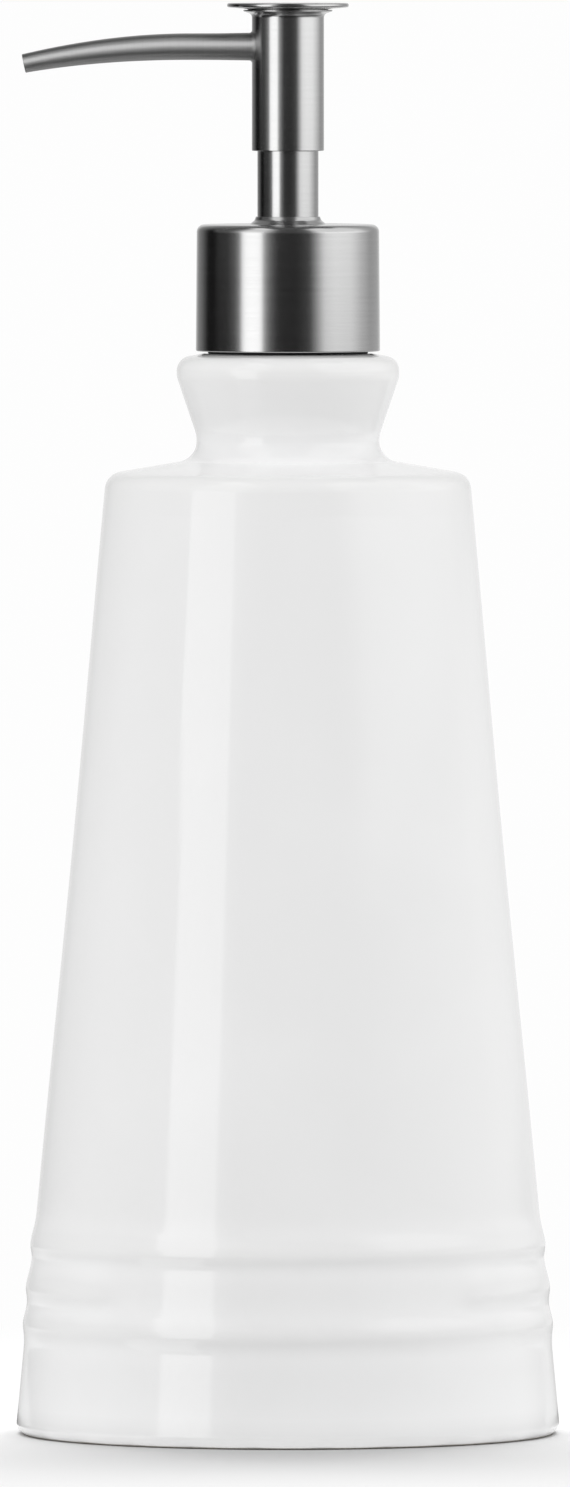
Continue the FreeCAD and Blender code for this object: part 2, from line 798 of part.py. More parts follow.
def make_return_spring():
    """Coil spring between its seat and the tip of the stem, on arcs of an eighth of a turn."""
    wire = value("spring_wire")
    radius = value("spring_radius")
    turns = value("spring_turns")
    low = value("retainer_top + spring_seat_gap + spring_wire / 2")
    high = value("tip_base - spring_seat_gap - spring_wire / 2")
    climb = (high - low) / (2 * math.pi * turns)

    def point(angle):
        return Vector(radius * math.cos(angle), radius * math.sin(angle), low + climb * angle)

    def way(angle):
        return Vector(-radius * math.sin(angle), radius * math.cos(angle), climb).normalize()

    stations = [quarter * math.pi / 2 for quarter in range(round(4 * turns) + 1)]
    edges = []
    for start, finish in zip(stations, stations[1:]):
        edges += tangent_arcs(point(start), way(start), point(finish), way(finish))
    section = Part.Wire([Part.Circle(point(0), way(0), wire / 2).toShape()])
    spring = doc.addObject("Part::Feature", "return_spring")
    spring.Label = "return_spring"
    spring.Shape = Part.Wire(edges).makePipeShell([section], True, False)
    spring.Placement = FreeCAD.Placement()

    step = 2 * math.pi / GAP_STEPS_PER_TURN
    samples = [point(number * step) for number in range(round(turns * GAP_STEPS_PER_TURN) + 1)]
    half_turn = GAP_STEPS_PER_TURN // 2
    least = min(
        (samples[one] - samples[other]).Length
        for one in range(len(samples))
        for other in range(one + half_turn, len(samples))
    )
    print(f"return_spring: least gap to itself {least - wire:.3f} mm")
    return spring


# Plunger


def make_stem():
    """Hollow piston rod with a stop shoulder, a snap groove for the head and two side ports."""
    groove = "stem_radius - snap_depth"
    body = turned_body("stem", [
        ("stem_bore", "stem_base"),
        ("stem_radius", "stem_base"),
        ("stem_radius", "stem_shoulder_base"),
        ("stem_shoulder", "stem_shoulder_base"),
        ("stem_shoulder", "stem_shoulder_top"),
        ("stem_radius", "stem_shoulder_top"),
        ("stem_radius", "snap_base"),
        (groove, "snap_base"),
        (groove, "snap_top"),
        ("stem_radius", "snap_top"),
        ("stem_radius", "stem_top"),
        ("stem_bore", "stem_top"),
    ])
    drill(body, "stem_ports", "port_radius", "port_height", "2 * (stem_radius + cut_margin)", both_ways=True)
    return body


def make_stem_tip():
    """Plug on the foot of the stem: seat of the outlet valve above, spring spigot below."""
    pin = "stem_bore - tip_pin_fit"
    rim = "pump_bore - tip_gap"
    spigot_base = "tip_base - tip_spigot_length"
    pin_top = "stem_base + tip_pin_length"
    return turned_body("stem_tip", [
        ("0", spigot_base),
        ("spring_spigot", spigot_base),
        ("spring_spigot", "tip_base"),
        (rim, "tip_base"),
        (rim, "stem_base"),
        (pin, "stem_base"),
        (pin, pin_top),
        ("0", pin_top),
    ])


def make_piston_seal():
    """Piston with a lip at each end and a flow cavity round the ports of the stem."""
    hole = "stem_radius + piston_fit"
    lip = "pump_bore - piston_lip_fit"
    waist = "pump_bore - piston_waist"
    cavity = "stem_radius + piston_cavity_width"
    cavity_top = "piston_base + piston_cavity_height"
    return turned_body("piston_seal", [
        (cavity, "piston_base"),
        (lip, "piston_base"),
        (lip, "piston_base + piston_lip_height"),
        (waist, "piston_base + piston_lip_taper"),
        (waist, "piston_top - piston_lip_taper"),
        (lip, "piston_top - piston_lip_height"),
        (lip, "piston_top"),
        (hole, "piston_top"),
        (hole, cavity_top),
        (cavity, cavity_top),
    ])


# Head


def make_head_core():
    """Core of the head: snaps on the stem and leads from it to the spout."""
    bead = "socket_bore - snap_depth"
    socket_top = "stem_top + stem_top_gap"
    channel_top = "spout_height + channel_radius"
    body = turned_body("head_core", [
        ("socket_bore", "socket_base"),
        ("socket_radius", "socket_base"),
        ("socket_radius", "core_base"),
        ("core_radius", "core_base"),
        ("core_radius", "core_top"),
        ("0", "core_top"),
        ("0", channel_top),
        ("channel_radius", channel_top),
        ("channel_radius", socket_top),
        ("socket_bore", socket_top),
        ("socket_bore", "snap_top - snap_play"),
        (bead, "snap_top - snap_play"),
        (bead, "snap_base + snap_play"),
        ("socket_bore", "snap_base + snap_play"),
    ])
    drill(body, "core_channel", "channel_radius - channel_step", "spout_height", "core_radius")
    drill(body, "core_spout_seat", "spout_hole", "spout_height", "core_radius", start="-spout_seat")
    return body


def make_head_sleeve():
    """Steel sleeve of the head, flared under the finger pad, with the hole for the spout."""
    flare_base = "sleeve_top - sleeve_flare_edge - sleeve_flare"
    body = turned_body("head_sleeve", [
        ("sleeve_bore", "sleeve_base"),
        ("sleeve_radius", "sleeve_base"),
        ("sleeve_radius", flare_base, "-sleeve_flare"),
        ("sleeve_rim", "sleeve_top - sleeve_flare_edge"),
        ("sleeve_rim", "sleeve_top"),
        ("sleeve_bore", "sleeve_top"),
    ])
    drill(body, "sleeve_spout_hole", "spout_hole", "spout_height", "sleeve_radius + cut_margin")
    return body


def make_finger_pad():
    """Flat steel disc on the sleeve, with a spigot that closes the sleeve."""
    spigot = "sleeve_bore - pad_fit"
    edge_base = "sleeve_top + pad_undercut"
    body = turned_body("finger_pad", [
        ("0", "pad_spigot_base"),
        (spigot, "pad_spigot_base"),
        (spigot, "sleeve_top"),
        ("sleeve_rim", "sleeve_top"),
        ("pad_radius", edge_base),
        ("pad_radius", "head_top"),
        ("0", "head_top"),
    ])
    soften(body, "pad_edge_round", "min(pad_round; (pad_thickness - pad_undercut) / 2 - pad_edge_land)",
           [("pad_radius", edge_base), ("pad_radius", "head_top")])
    return body


def draw_spout_section(body, name, spine, edge, parameter, radius):
    """Draw a round section square to an edge of the spine, at its start (0) or its end (1)."""
    sketch = body.newObject("Sketcher::SketchObject", name)
    sketch.AttachmentSupport = [(spine, edge)]
    sketch.MapMode = "NormalToEdge"
    sketch.MapPathParameter = parameter
    index = sketch.addGeometry(Part.Circle(Vector(0, 0, 0), Vector(0, 0, 1), value(radius)), False)
    sketch.addConstraint(Sketcher.Constraint("Coincident", index, 3, -1, 1))
    bind(sketch, Sketcher.Constraint("Radius", index, value(radius)), radius)
    doc.recompute()
    return sketch


def make_spout_tube():
    """Tapered steel spout: straight out of the head and then bent gently down."""
    body = new_body("spout_tube")
    spine = new_sketch(body, "spout_spine")
    bend = "((spout_reach - spout_straight) ^ 2 + spout_tip_drop ^ 2) / (2 * spout_tip_drop)"
    root = Vector(-value("spout_seat"), value("spout_height"), 0)
    knee = Vector(-value("spout_straight"), value("spout_height"), 0)
    tip = Vector(-value("spout_reach"), value("spout_height - spout_tip_drop"), 0)
    line = spine.addGeometry(Part.LineSegment(root, knee), False)
    arc, head, tail = draw_arc(spine, knee, tip, value(bend), True)
    spine.addConstraint(Sketcher.Constraint("Coincident", line, 2, arc, head))
    pin_point(spine, line, 1, "-spout_seat", "spout_height")
    pin_point(spine, line, 2, "-spout_straight", "spout_height")
    pin_point(spine, arc, tail, "-spout_reach", "spout_height - spout_tip_drop")
    bind(spine, Sketcher.Constraint("Radius", arc, value(bend)), bend)
    doc.recompute()
    surfaces = (("Additive", "spout_outside", ""), ("Subtractive", "spout_inside", " - spout_wall"))
    for kind, name, inset in surfaces:
        start = draw_spout_section(body, f"{name}_root", spine, "Edge1", 0.0, f"spout_root_radius{inset}")
        middle = draw_spout_section(body, f"{name}_knee", spine, "Edge1", 1.0, f"spout_knee_radius{inset}")
        finish = draw_spout_section(body, f"{name}_tip", spine, "Edge2", 1.0, f"spout_tip_radius{inset}")
        feature = body.newObject(f"PartDesign::{kind}Pipe", name)
        feature.Profile = (start, [""])
        feature.Spine = (spine, ["Edge1", "Edge2"])
        feature.Transformation = "Multisection"
        feature.Sections = [(middle, [""]), (finish, [""])]
        doc.recompute()
    return body


# Build, check and write


def main():
    """Build every piece, check it and write it to its own file."""
    pieces = [
        make_bottle_body(),
        make_rim_gasket(),
        make_neck_insert(),
        make_screw_cap(),
        make_collar_shell(),
        make_housing_gasket(),
        make_pump_cylinder(),
        make_chaplet(),
        make_guide_tube(),
        make_ball_retainer(),
        make_inlet_ball(),
        make_dip_tube(),
        make_return_spring(),
        make_stem(),
        make_stem_tip(),
        make_piston_seal(),
        make_head_core(),
        make_head_sleeve(),
        make_finger_pad(),
        make_spout_tube(),
    ]
    doc.recompute()
    for item in doc.Objects:
        if "Invalid" in item.State or "Error" in item.State:
            raise RuntimeError(f"{item.Label} failed: {item.State}")
    for piece in pieces:
        shape = piece.Shape
        if shape.isNull() or not shape.isValid() or len(shape.Solids) != 1:
            raise RuntimeError(f"{piece.Label} isn't one valid solid")
    os.makedirs("parts", exist_ok=True)
    for piece in pieces:
        piece.Shape.exportStep(f"parts/{piece.Label}.step")
        box = piece.Shape.optimalBoundingBox()
        print(f"{piece.Label}: {piece.Shape.Volume:.1f} mm3, z {box.ZMin:.2f} to {box.ZMax:.2f}")


main()
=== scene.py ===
"""Looks of a soap dispenser bottle: glazed stoneware with a brushed steel hand pump.

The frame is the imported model's: metres, +Z up, spout along -X, plain front towards -Y. Sizes of the pieces
are millimetres and become metres when a mesh is written, and sizes of the studio are metres. Angles round
the axis are measured from the front, so angle a lies towards (sin a, -cos a).
"""

import logging
import math
from dataclasses import dataclass
from enum import Enum
from typing import ClassVar, Optional, Sequence, Union

import bmesh
import bpy
import numpy as np
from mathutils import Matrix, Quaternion, Vector


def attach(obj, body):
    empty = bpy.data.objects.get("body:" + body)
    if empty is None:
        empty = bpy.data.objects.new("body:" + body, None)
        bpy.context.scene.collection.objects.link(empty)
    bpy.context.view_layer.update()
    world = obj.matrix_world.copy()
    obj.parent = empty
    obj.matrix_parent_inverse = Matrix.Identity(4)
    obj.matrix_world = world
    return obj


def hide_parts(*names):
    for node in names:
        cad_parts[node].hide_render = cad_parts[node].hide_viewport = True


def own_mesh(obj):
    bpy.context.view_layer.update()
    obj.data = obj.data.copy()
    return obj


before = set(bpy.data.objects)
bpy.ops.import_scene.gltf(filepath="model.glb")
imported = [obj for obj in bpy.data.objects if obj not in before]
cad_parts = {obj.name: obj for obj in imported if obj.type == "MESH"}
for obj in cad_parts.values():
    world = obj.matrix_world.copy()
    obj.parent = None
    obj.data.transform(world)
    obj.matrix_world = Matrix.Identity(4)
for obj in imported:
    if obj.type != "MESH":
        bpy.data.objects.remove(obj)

LOG = logging.getLogger("soap_dispenser")
MM = 0.001
TURN = 2.0 * math.pi

# Distance in millimetres from a corner to the next point of a straight run
HEM = 0.03
# Longest step round an arc, and the fewest points of one
ARC_STEP = math.radians(7.5)
ARC_POINTS = 4
# Points closer together than this, in metres, become one
WELD_DISTANCE = 1.0e-7
# Distance in millimetres off the cone at which a point still counts as on it
ON_CONE = 1.0e-6
# Range that smooth noise mostly keeps to
NOISE_RANGE = (0.3, 0.7)
# Point that the camera and most lamps face, in metres
AIM = (-0.00045, 0.0, 0.1062)
# Names of the map and of the numbers that pieces carry for their finishes
TURNED_UV = "turned"
POOLING_AND_FILL_LIGHT = "pooling_and_fill_light"
BARE = "bare"
GLOW = "glow"

Colour = tuple[float, float, float]
Place = tuple[float, float, float]
Stops = tuple[tuple[float, float], ...]
Numbers = Union[float, np.ndarray]
Source = Union[bpy.types.NodeSocket, float, tuple]


class Slot(Enum):
    """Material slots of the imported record."""

    GLAZE = "white_glaze"
    BRUSHED_STEEL = "brushed_steel"
    BRIGHT_STEEL = "polished_steel"
    RUBBER = "dark_rubber"
    GREY_PLASTIC = "grey_plastic"
    WHITE_PLASTIC = "white_plastic"
    NATURAL_PLASTIC = "natural_plastic"


class Body(Enum):
    """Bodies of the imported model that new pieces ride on."""

    BOTTLE = "bottle"
    PUMP = "pump"
    COLLAR = "collar"
    HEAD = "head"


# Outlines and surfaces


@dataclass(frozen=True)
class Corner:
    """A corner of an outline.

    Attributes:
        across: Distance from the axis.
        up: Height.
        radius: Radius of the round over the corner, 0 for none.
        stride: Longest step along the straight run that follows.
    """

    across: float
    up: float
    radius: float = 0.0
    stride: float = 4.0


def corner_arc(before: np.ndarray, corner: np.ndarray, after: np.ndarray, radius: float) -> np.ndarray:
    """Work out the arc that rounds a corner.

    With a and b the unit vectors from the corner to its neighbours and h half the angle between them, the
    centre of the arc lies at corner + (a + b) / |a + b| * radius / sin h. The arc starts at
    corner + a * radius / tan h, ends at corner + b * radius / tan h and sweeps pi - 2 h between them.

    Args:
        before: The corner in front of it, (across, up).
        corner: The corner itself.
        after: The corner behind it.
        radius: Radius of the round.

    Returns:
        The points of the arc, one row each.
    """
    first = (before - corner) / np.linalg.norm(before - corner)
    second = (after - corner) / np.linalg.norm(after - corner)
    half = math.acos(float(np.clip(first @ second, -1.0, 1.0))) / 2.0
    bisector = (first + second) / np.linalg.norm(first + second)
    centre = corner + bisector * radius / math.sin(half)
    start = corner + first * radius / math.tan(half) - centre
    finish = corner + second * radius / math.tan(half) - centre
    sweep = math.pi - 2.0 * half
    share = np.linspace(0.0, 1.0, max(ARC_POINTS, math.ceil(sweep / ARC_STEP) + 1))[:, None]
    return centre + (start * np.sin((1.0 - share) * sweep) + finish * np.sin(share * sweep)) / math.sin(sweep)


def straight_run(start: np.ndarray, finish: np.ndarray, stride: float) -> np.ndarray:
    """Points inside a straight run, the outer two a hem's width from its ends so that shading stays flat.

    Args:
        start: First end of the run.
        finish: Last end of the run.
        stride: Longest step.

    Returns:
        The points between the ends, none on a very short run.
    """
    length = float(np.linalg.norm(finish - start))
    if length <= 3.0 * HEM:
        return np.empty((0, 2))
    count = max(2, math.ceil((length - 2.0 * HEM) / stride) + 1)
    share = np.linspace(HEM, length - HEM, count)[:, None] / length
    return start + share * (finish - start)


def rounded_outline(corners: Sequence[Corner], closed: bool = True) -> np.ndarray:
    """Join corners by straight runs and round them.

    Args:
        corners: Corners in order.
        closed: Whether the last corner runs back to the first. An open outline starts and ends on the axis.

    Returns:
        The points of the outline, (across, up), with the first one repeated at the end if it is closed.
    """
    spots = np.array([(corner.across, corner.up) for corner in corners])
    last = len(corners) - 1
    arcs = []
    for number, corner in enumerate(corners):
        at_end = not closed and number in (0, last)
        if at_end or corner.radius == 0.0:
            arcs.append(spots[number : number + 1])
        else:
            following = spots[(number + 1) % len(spots)]
            arcs.append(corner_arc(spots[number - 1], spots[number], following, corner.radius))
    parts = []
    for number, corner in enumerate(corners):
        parts.append(arcs[number])
        if closed or number < last:
            parts.append(straight_run(arcs[number][-1], arcs[(number + 1) % len(arcs)][0], corner.stride))
    if closed:
        parts.append(arcs[0][:1])
    return np.concatenate(parts)


def run_length(points: np.ndarray) -> np.ndarray:
    """Length along a line of points up to each of them."""
    steps = np.linalg.norm(np.diff(points, axis=0), axis=1)
    return np.concatenate([[0.0], np.cumsum(steps)])


def round_angles(count: int) -> np.ndarray:
    """Even angles all round the axis, from the back over the front to the back again."""
    return np.linspace(-math.pi, math.pi, count + 1)


def between(stops: Stops, at: Numbers) -> Numbers:
    """Read a table of stops at some places: straight between them, and level beyond its ends."""
    return np.interp(at, *np.array(stops).T)


def round_points(across: Numbers, angles: np.ndarray, up: Numbers) -> np.ndarray:
    """Points at distances r, angles a and heights z round the axis: (r sin a, -r cos a, z)."""
    return np.stack(np.broadcast_arrays(across * np.sin(angles), -across * np.cos(angles), up), axis=-1)


def turned_grid(outline: np.ndarray, angles: np.ndarray) -> np.ndarray:
    """Turn an outline about the axis: row i and column j is (r_i sin a_j, -r_i cos a_j, z_i).

    Args:
        outline: Points (across, up), either one row each or one row and column each.
        angles: Angle of each column.

    Returns:
        A grid of points, (rows, columns, 3).
    """
    wide = outline if outline.ndim == 3 else np.repeat(outline[:, None, :], len(angles), axis=1)
    return round_points(wide[..., 0], angles, wide[..., 1])


def turned_uv(outline: np.ndarray, angles: np.ndarray) -> np.ndarray:
    """Map a surface of rings: U is the share of a turn, V the length along the outline in metres.

    Args:
        outline: Points of the outline, one row each.
        angles: Angle of each column.

    Returns:
        A grid of coordinates, (rows, columns, 2).
    """
    along = run_length(outline) * MM
    share = (angles - angles[0]) / TURN
    return np.stack(np.broadcast_arrays(share[None, :], along[:, None]), axis=-1)


def enclosed_volume(points: np.ndarray, quads: np.ndarray) -> float:
    """Volume inside quads by the divergence theorem: a sixth of the sum of a . (b x c) over all triangles.

    Args:
        points: All points, one row each.
        quads: Numbers of the four points of each quad.

    Returns:
        The volume, negative where the quads face inwards.
    """
    a, b, c, d = (points[quads[:, number]] for number in range(4))
    halves = np.einsum("ij,ij->i", a, np.cross(b, c)) + np.einsum("ij,ij->i", a, np.cross(c, d))
    return float(halves.sum()) / 6.0


def grid_piece(name: str, points: np.ndarray, uv: np.ndarray,
               marks: Optional[dict[str, np.ndarray]] = None) -> bpy.types.Object:
    """Make an object of a grid of points, and weld its seam, its poles and its closing row.

    Args:
        name: Name of the piece.
        points: Grid of points in millimetres, (rows, columns, 3).
        uv: Grid of coordinates, (rows, columns, 2).
        marks: Numbers for each point by attribute name, each (rows, columns).

    Returns:
        The object, at the origin, with its faces outwards and smooth.
    """
    rows, columns = points.shape[:2]
    index = np.arange(rows * columns).reshape(rows, columns)
    quads = np.stack([index[:-1, :-1], index[:-1, 1:], index[1:, 1:], index[1:, :-1]], axis=-1).reshape(-1, 4)
    flat = points.reshape(-1, 3)
    if enclosed_volume(flat, quads) < 0.0:
        quads = np.ascontiguousarray(quads[:, ::-1])
    mesh = bpy.data.meshes.new(name)
    mesh.vertices.add(len(flat))
    mesh.vertices.foreach_set("co", (flat * MM).astype(np.float32).ravel())
    mesh.loops.add(quads.size)
    mesh.loops.foreach_set("vertex_index", quads.astype(np.int32).ravel())
    mesh.polygons.add(len(quads))
    mesh.polygons.foreach_set("loop_start", np.arange(0, quads.size, 4, dtype=np.int32))
    mesh.update(calc_edges=True)
    layer = mesh.uv_layers.new(name=TURNED_UV)
    layer.data.foreach_set("uv", uv.reshape(-1, 2)[quads.ravel()].astype(np.float32).ravel())
    for mark, numbers in (marks or {}).items():
        attribute = mesh.attributes.new(mark, "FLOAT", "POINT")
        attribute.data.foreach_set("value", numbers.astype(np.float32).ravel())
    shape = bmesh.new()
    shape.from_mesh(mesh)
    bmesh.ops.remove_doubles(shape, verts=shape.verts, dist=WELD_DISTANCE)
    shape.to_mesh(mesh)
    shape.free()
    mesh.shade_smooth()
    piece = bpy.data.objects.new(name, mesh)
    bpy.context.scene.collection.objects.link(piece)
    return piece


def turned_piece(name: str, corners: Sequence[Corner], columns: int, closed: bool = True) -> bpy.types.Object:
    """Turn a rounded outline about the axis into a piece.

    Args:
        name: Name of the piece.
        corners: Corners of its outline.
        columns: Faces round the axis.
        closed: Whether the outline is a ring, and doesn't start and end on the axis.

    Returns:
        The object.
    """
    outline = rounded_outline(corners, closed)
    angles = round_angles(columns)
    return grid_piece(name, turned_grid(outline, angles), turned_uv(outline, angles))


def install(piece: bpy.types.Object, body: Body, slot: Slot, finish: bpy.types.Material,
            *nodes: str) -> bpy.types.Object:
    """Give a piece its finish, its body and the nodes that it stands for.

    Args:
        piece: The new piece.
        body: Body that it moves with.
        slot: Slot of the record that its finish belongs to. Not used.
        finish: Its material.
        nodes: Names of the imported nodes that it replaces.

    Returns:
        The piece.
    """
    piece.data.materials.clear()
    piece.data.materials.append(finish)
    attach(piece, body.value)
    if nodes:
        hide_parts(*nodes)
    LOG.info("%s: %d faces on body %s", piece.name, len(piece.data.polygons), body.value)
    return piece


# Finishes


class Graph:
    """Node graph of a material that ends in one principled shader."""

    def __init__(self, name: str) -> None:
        """Start a material.

        Args:
            name: Name of the material.
        """
        self.material = bpy.data.materials.new(name)
        self.material.use_nodes = True
        self.tree = self.material.node_tree
        self.shader = next(node for node in self.tree.nodes if node.type == "BSDF_PRINCIPLED")

    def add(self, kind: str, **settings: object) -> bpy.types.Node:
        """Add a node.

        Args:
            kind: Its type.
            settings: Some of its settings by name.

        Returns:
            The node.
        """
        node = self.tree.nodes.new(kind)
        for key, setting in settings.items():
            setattr(node, key, setting)
        return node

    def feed(self, socket: bpy.types.NodeSocket, source: Source) -> None:
        """Give an input a constant, or link it to another node's output.

        Args:
            socket: The input.
            source: The constant or the output.
        """
        if isinstance(source, bpy.types.NodeSocket):
            self.tree.links.new(source, socket)
        else:
            socket.default_value = source

    def result(self, kind: str, *sources: Source, **settings: object) -> bpy.types.NodeSocket:
        """Add a node and feed its inputs in order.

        Args:
            kind: Its type.
            sources: What goes into its first inputs.
            settings: Some of its settings by name.

        Returns:
            Its first output.
        """
        node = self.add(kind, **settings)
        for socket, source in zip(node.inputs, sources):
            self.feed(socket, source)
        return node.outputs[0]

    def set(self, **constants: object) -> None:
        """Set constants on the shader's own sockets, whose names are given with underscores."""
        for key, constant in constants.items():
            self.shader.inputs[key.replace("_", " ")].default_value = constant

    def place(self) -> bpy.types.NodeSocket:
        """Point of the surface in the object's own coordinates, in metres."""
        return self.add("ShaderNodeTexCoord").outputs["Object"]

    def parts(self, vector: Source) -> list[bpy.types.NodeSocket]:
        """Split a vector into its three parts."""
        return list(self.result("ShaderNodeSeparateXYZ", vector).node.outputs)

    def joined(self, *numbers: Source) -> bpy.types.NodeSocket:
        """Join three numbers into a vector."""
        return self.result("ShaderNodeCombineXYZ", *numbers)

    def maths(self, operation: str, first: Source, second: Source) -> bpy.types.NodeSocket:
        """Result of an operation on two numbers."""
        return self.result("ShaderNodeMath", first, second, operation=operation)

    def noise(self, vector: Source, cells: float = 1.0, detail: float = 2.0) -> bpy.types.NodeSocket:
        """Add smooth noise.

        Args:
            vector: Where it is read.
            cells: Cells of noise in one unit of the vector.
            detail: How many finer layers of noise are added to it.

        Returns:
            A number from 0 to 1, mostly in the noise range.
        """
        node = self.add("ShaderNodeTexNoise")
        self.feed(node.inputs["Vector"], vector)
        node.inputs["Scale"].default_value = cells
        node.inputs["Detail"].default_value = detail
        return node.outputs["Fac"]

    def span(self, number: Source, bottom: float, top: float, low: float,
             high: float) -> bpy.types.NodeSocket:
        """Map a number from the range bottom to top onto the range low to high, and hold it there."""
        return self.result("ShaderNodeMapRange", number, bottom, top, low, high, clamp=True)

    def spread(self, noise: Source, low: float = 0.0, high: float = 1.0) -> bpy.types.NodeSocket:
        """Map noise onto the range low to high, and hold it there."""
        return self.span(noise, *NOISE_RANGE, low, high)

    def blend(self, share: Source, first: Source, second: Source) -> bpy.types.NodeSocket:
        """Mix two colours.

        Args:
            share: Share of the second colour.
            first: The first colour.
            second: The second colour.

        Returns:
            The colour between them.
        """
        node = self.add("ShaderNodeMix", data_type="RGBA")
        self.feed(node.inputs["Factor"], share)
        self.feed(node.inputs[6], first)
        self.feed(node.inputs[7], second)
        return node.outputs[2]

    def mark(self, name: str) -> bpy.types.NodeSocket:
        """Number that the piece carries at each point under that name."""
        return self.add("ShaderNodeAttribute", attribute_name=name).outputs["Fac"]

    def relief(self, height: Source, depth: float, under: Optional[Source] = None) -> bpy.types.NodeSocket:
        """Bend the surface's normal by a relief.

        Args:
            height: Height of the relief, from 0 to 1.
            depth: Depth of the whole relief, in metres.
            under: Normal that the relief lies on, the surface's own if there is none.

        Returns:
            The bent normal.
        """
        node = self.add("ShaderNodeBump")
        node.inputs["Distance"].default_value = depth
        self.feed(node.inputs["Height"], height)
        if under is not None:
            self.feed(node.inputs["Normal"], under)
        return node.outputs[0]

    def dress(self, colour: Source, roughness: Source, normal: Source) -> None:
        """Feed colour, roughness and normal to the shader."""
        for name, source in (("Base Color", colour), ("Roughness", roughness), ("Normal", normal)):
            self.feed(self.shader.inputs[name], source)


def grey(tone: float) -> tuple[float, float, float, float]:
    """Opaque grey of a tone."""
    return (tone, tone, tone, 1.0)


def solid(colour: Colour, factor: float = 1.0) -> tuple[float, float, float, float]:
    """Opaque colour, made lighter or darker by a factor."""
    return (colour[0] * factor, colour[1] * factor, colour[2] * factor, 1.0)


class Finish:
    """A finish, which paints a material."""

    def material(self, name: str) -> bpy.types.Material:
        """Make a material of the finish.

        Args:
            name: Name of the material.

        Returns:
            The material.
        """
        graph = Graph(name)
        self.paint(graph)
        return graph.material

    def paint(self, graph: Graph) -> None:
        """Fill the material's graph, as each finish does in its own way."""
        raise NotImplementedError


@dataclass(frozen=True)
class WhiteGlaze(Finish):
    """Glossy white glaze, warmer on edges, bare at the foot ring, with painted fill light: whiter in hollows
    and near the foot, against the shade there.

    Attributes:
        thin: Colour where the glaze is thin.
        full: Colour on the open surface.
        pooled_fill_light: Colour in hollows, whiter as painted fill light against the shade there.
        pool_limit: Depth of the hollow mark at which that colour is whole, or the glaze wholly thin below
            zero.
        cloud: How far slow clouds shift that depth.
        cloud_cells: Clouds in a metre.
        gloss: Least and greatest roughness of the glaze.
        gloss_cells: Spots of gloss in a metre.
        wave: Length of the slow waves in the fired surface, in millimetres.
        wave_depth: Their depth, in millimetres.
        clay: Colour of the bare foot ring.
        clay_shade: Factor on that colour in its darker grains.
        clay_range: Range of noise over which grains go over into clay.
        clay_cells: Grains in a metre.
        clay_roughness: Roughness of the clay.
        pit_depth: Depth of the pits in the clay, in millimetres.
        ragged: How far the edge of the glaze frays.
        ragged_cells: Fringes of that edge in a metre.
        edge: Share of bareness at which the glaze begins to end, and at which it has ended.
        ior: Refractive index of the glaze.
    """

    thin: Colour = (0.825, 0.824, 0.821)
    full: Colour = (0.82, 0.82, 0.82)
    pooled_fill_light: Colour = (0.93, 0.931, 0.933)
    pool_limit: float = 0.9
    cloud: float = 0.12
    cloud_cells: float = 35.0
    gloss: tuple[float, float] = (0.045, 0.075)
    gloss_cells: float = 90.0
    wave: float = 14.0
    wave_depth: float = 0.008
    clay: Colour = (0.60, 0.57, 0.52)
    clay_shade: float = 0.86
    clay_range: tuple[float, float] = (0.35, 0.65)
    clay_cells: float = 2600.0
    clay_roughness: float = 0.85
    pit_depth: float = 0.06
    ragged: float = 0.3
    ragged_cells: float = 240.0
    edge: tuple[float, float] = (0.4, 0.6)
    ior: float = 1.5

    def paint(self, graph: Graph) -> None:
        """Paint glaze with painted fill light, whiter in hollows and near the foot, over clay that shows
        where the piece is marked as bare.

        Args:
            graph: Graph of the material.
        """
        place = graph.place()
        cloud = graph.spread(graph.noise(place, self.cloud_cells, 3.0), -self.cloud, self.cloud)
        depth = graph.maths("ADD", graph.mark(POOLING_AND_FILL_LIGHT), cloud)
        thinness = graph.span(depth, -self.pool_limit, 0.0, 1.0, 0.0)
        thin = graph.blend(thinness, solid(self.full), solid(self.thin))
        # Painted fill light: hollows and the foot turn whiter against the shade that falls there.
        glazed = graph.blend(graph.span(depth, 0.0, self.pool_limit, 0.0, 1.0), thin, solid(self.pooled_fill_light))
        grain = graph.noise(place, self.clay_cells, 4.0)
        grains = graph.span(grain, *self.clay_range, 0.0, 1.0)
        clay = graph.blend(grains, solid(self.clay, self.clay_shade), solid(self.clay))
        fringe = graph.spread(graph.noise(place, self.ragged_cells, 3.0), -self.ragged, self.ragged)
        bare = graph.span(graph.maths("ADD", graph.mark(BARE), fringe), *self.edge, 0.0, 1.0)
        gloss = graph.spread(graph.noise(place, self.gloss_cells, 2.0), *self.gloss)
        matt = graph.span(bare, 0.0, 1.0, 0.0, self.clay_roughness)
        waves = graph.relief(graph.noise(place, 1.0 / (self.wave * MM), 1.0), self.wave_depth * MM)
        normal = graph.relief(graph.maths("MULTIPLY", grain, bare), self.pit_depth * MM, waves)
        graph.set(IOR=self.ior)
        graph.dress(graph.blend(bare, glazed, clay), graph.maths("MAXIMUM", gloss, matt), normal)


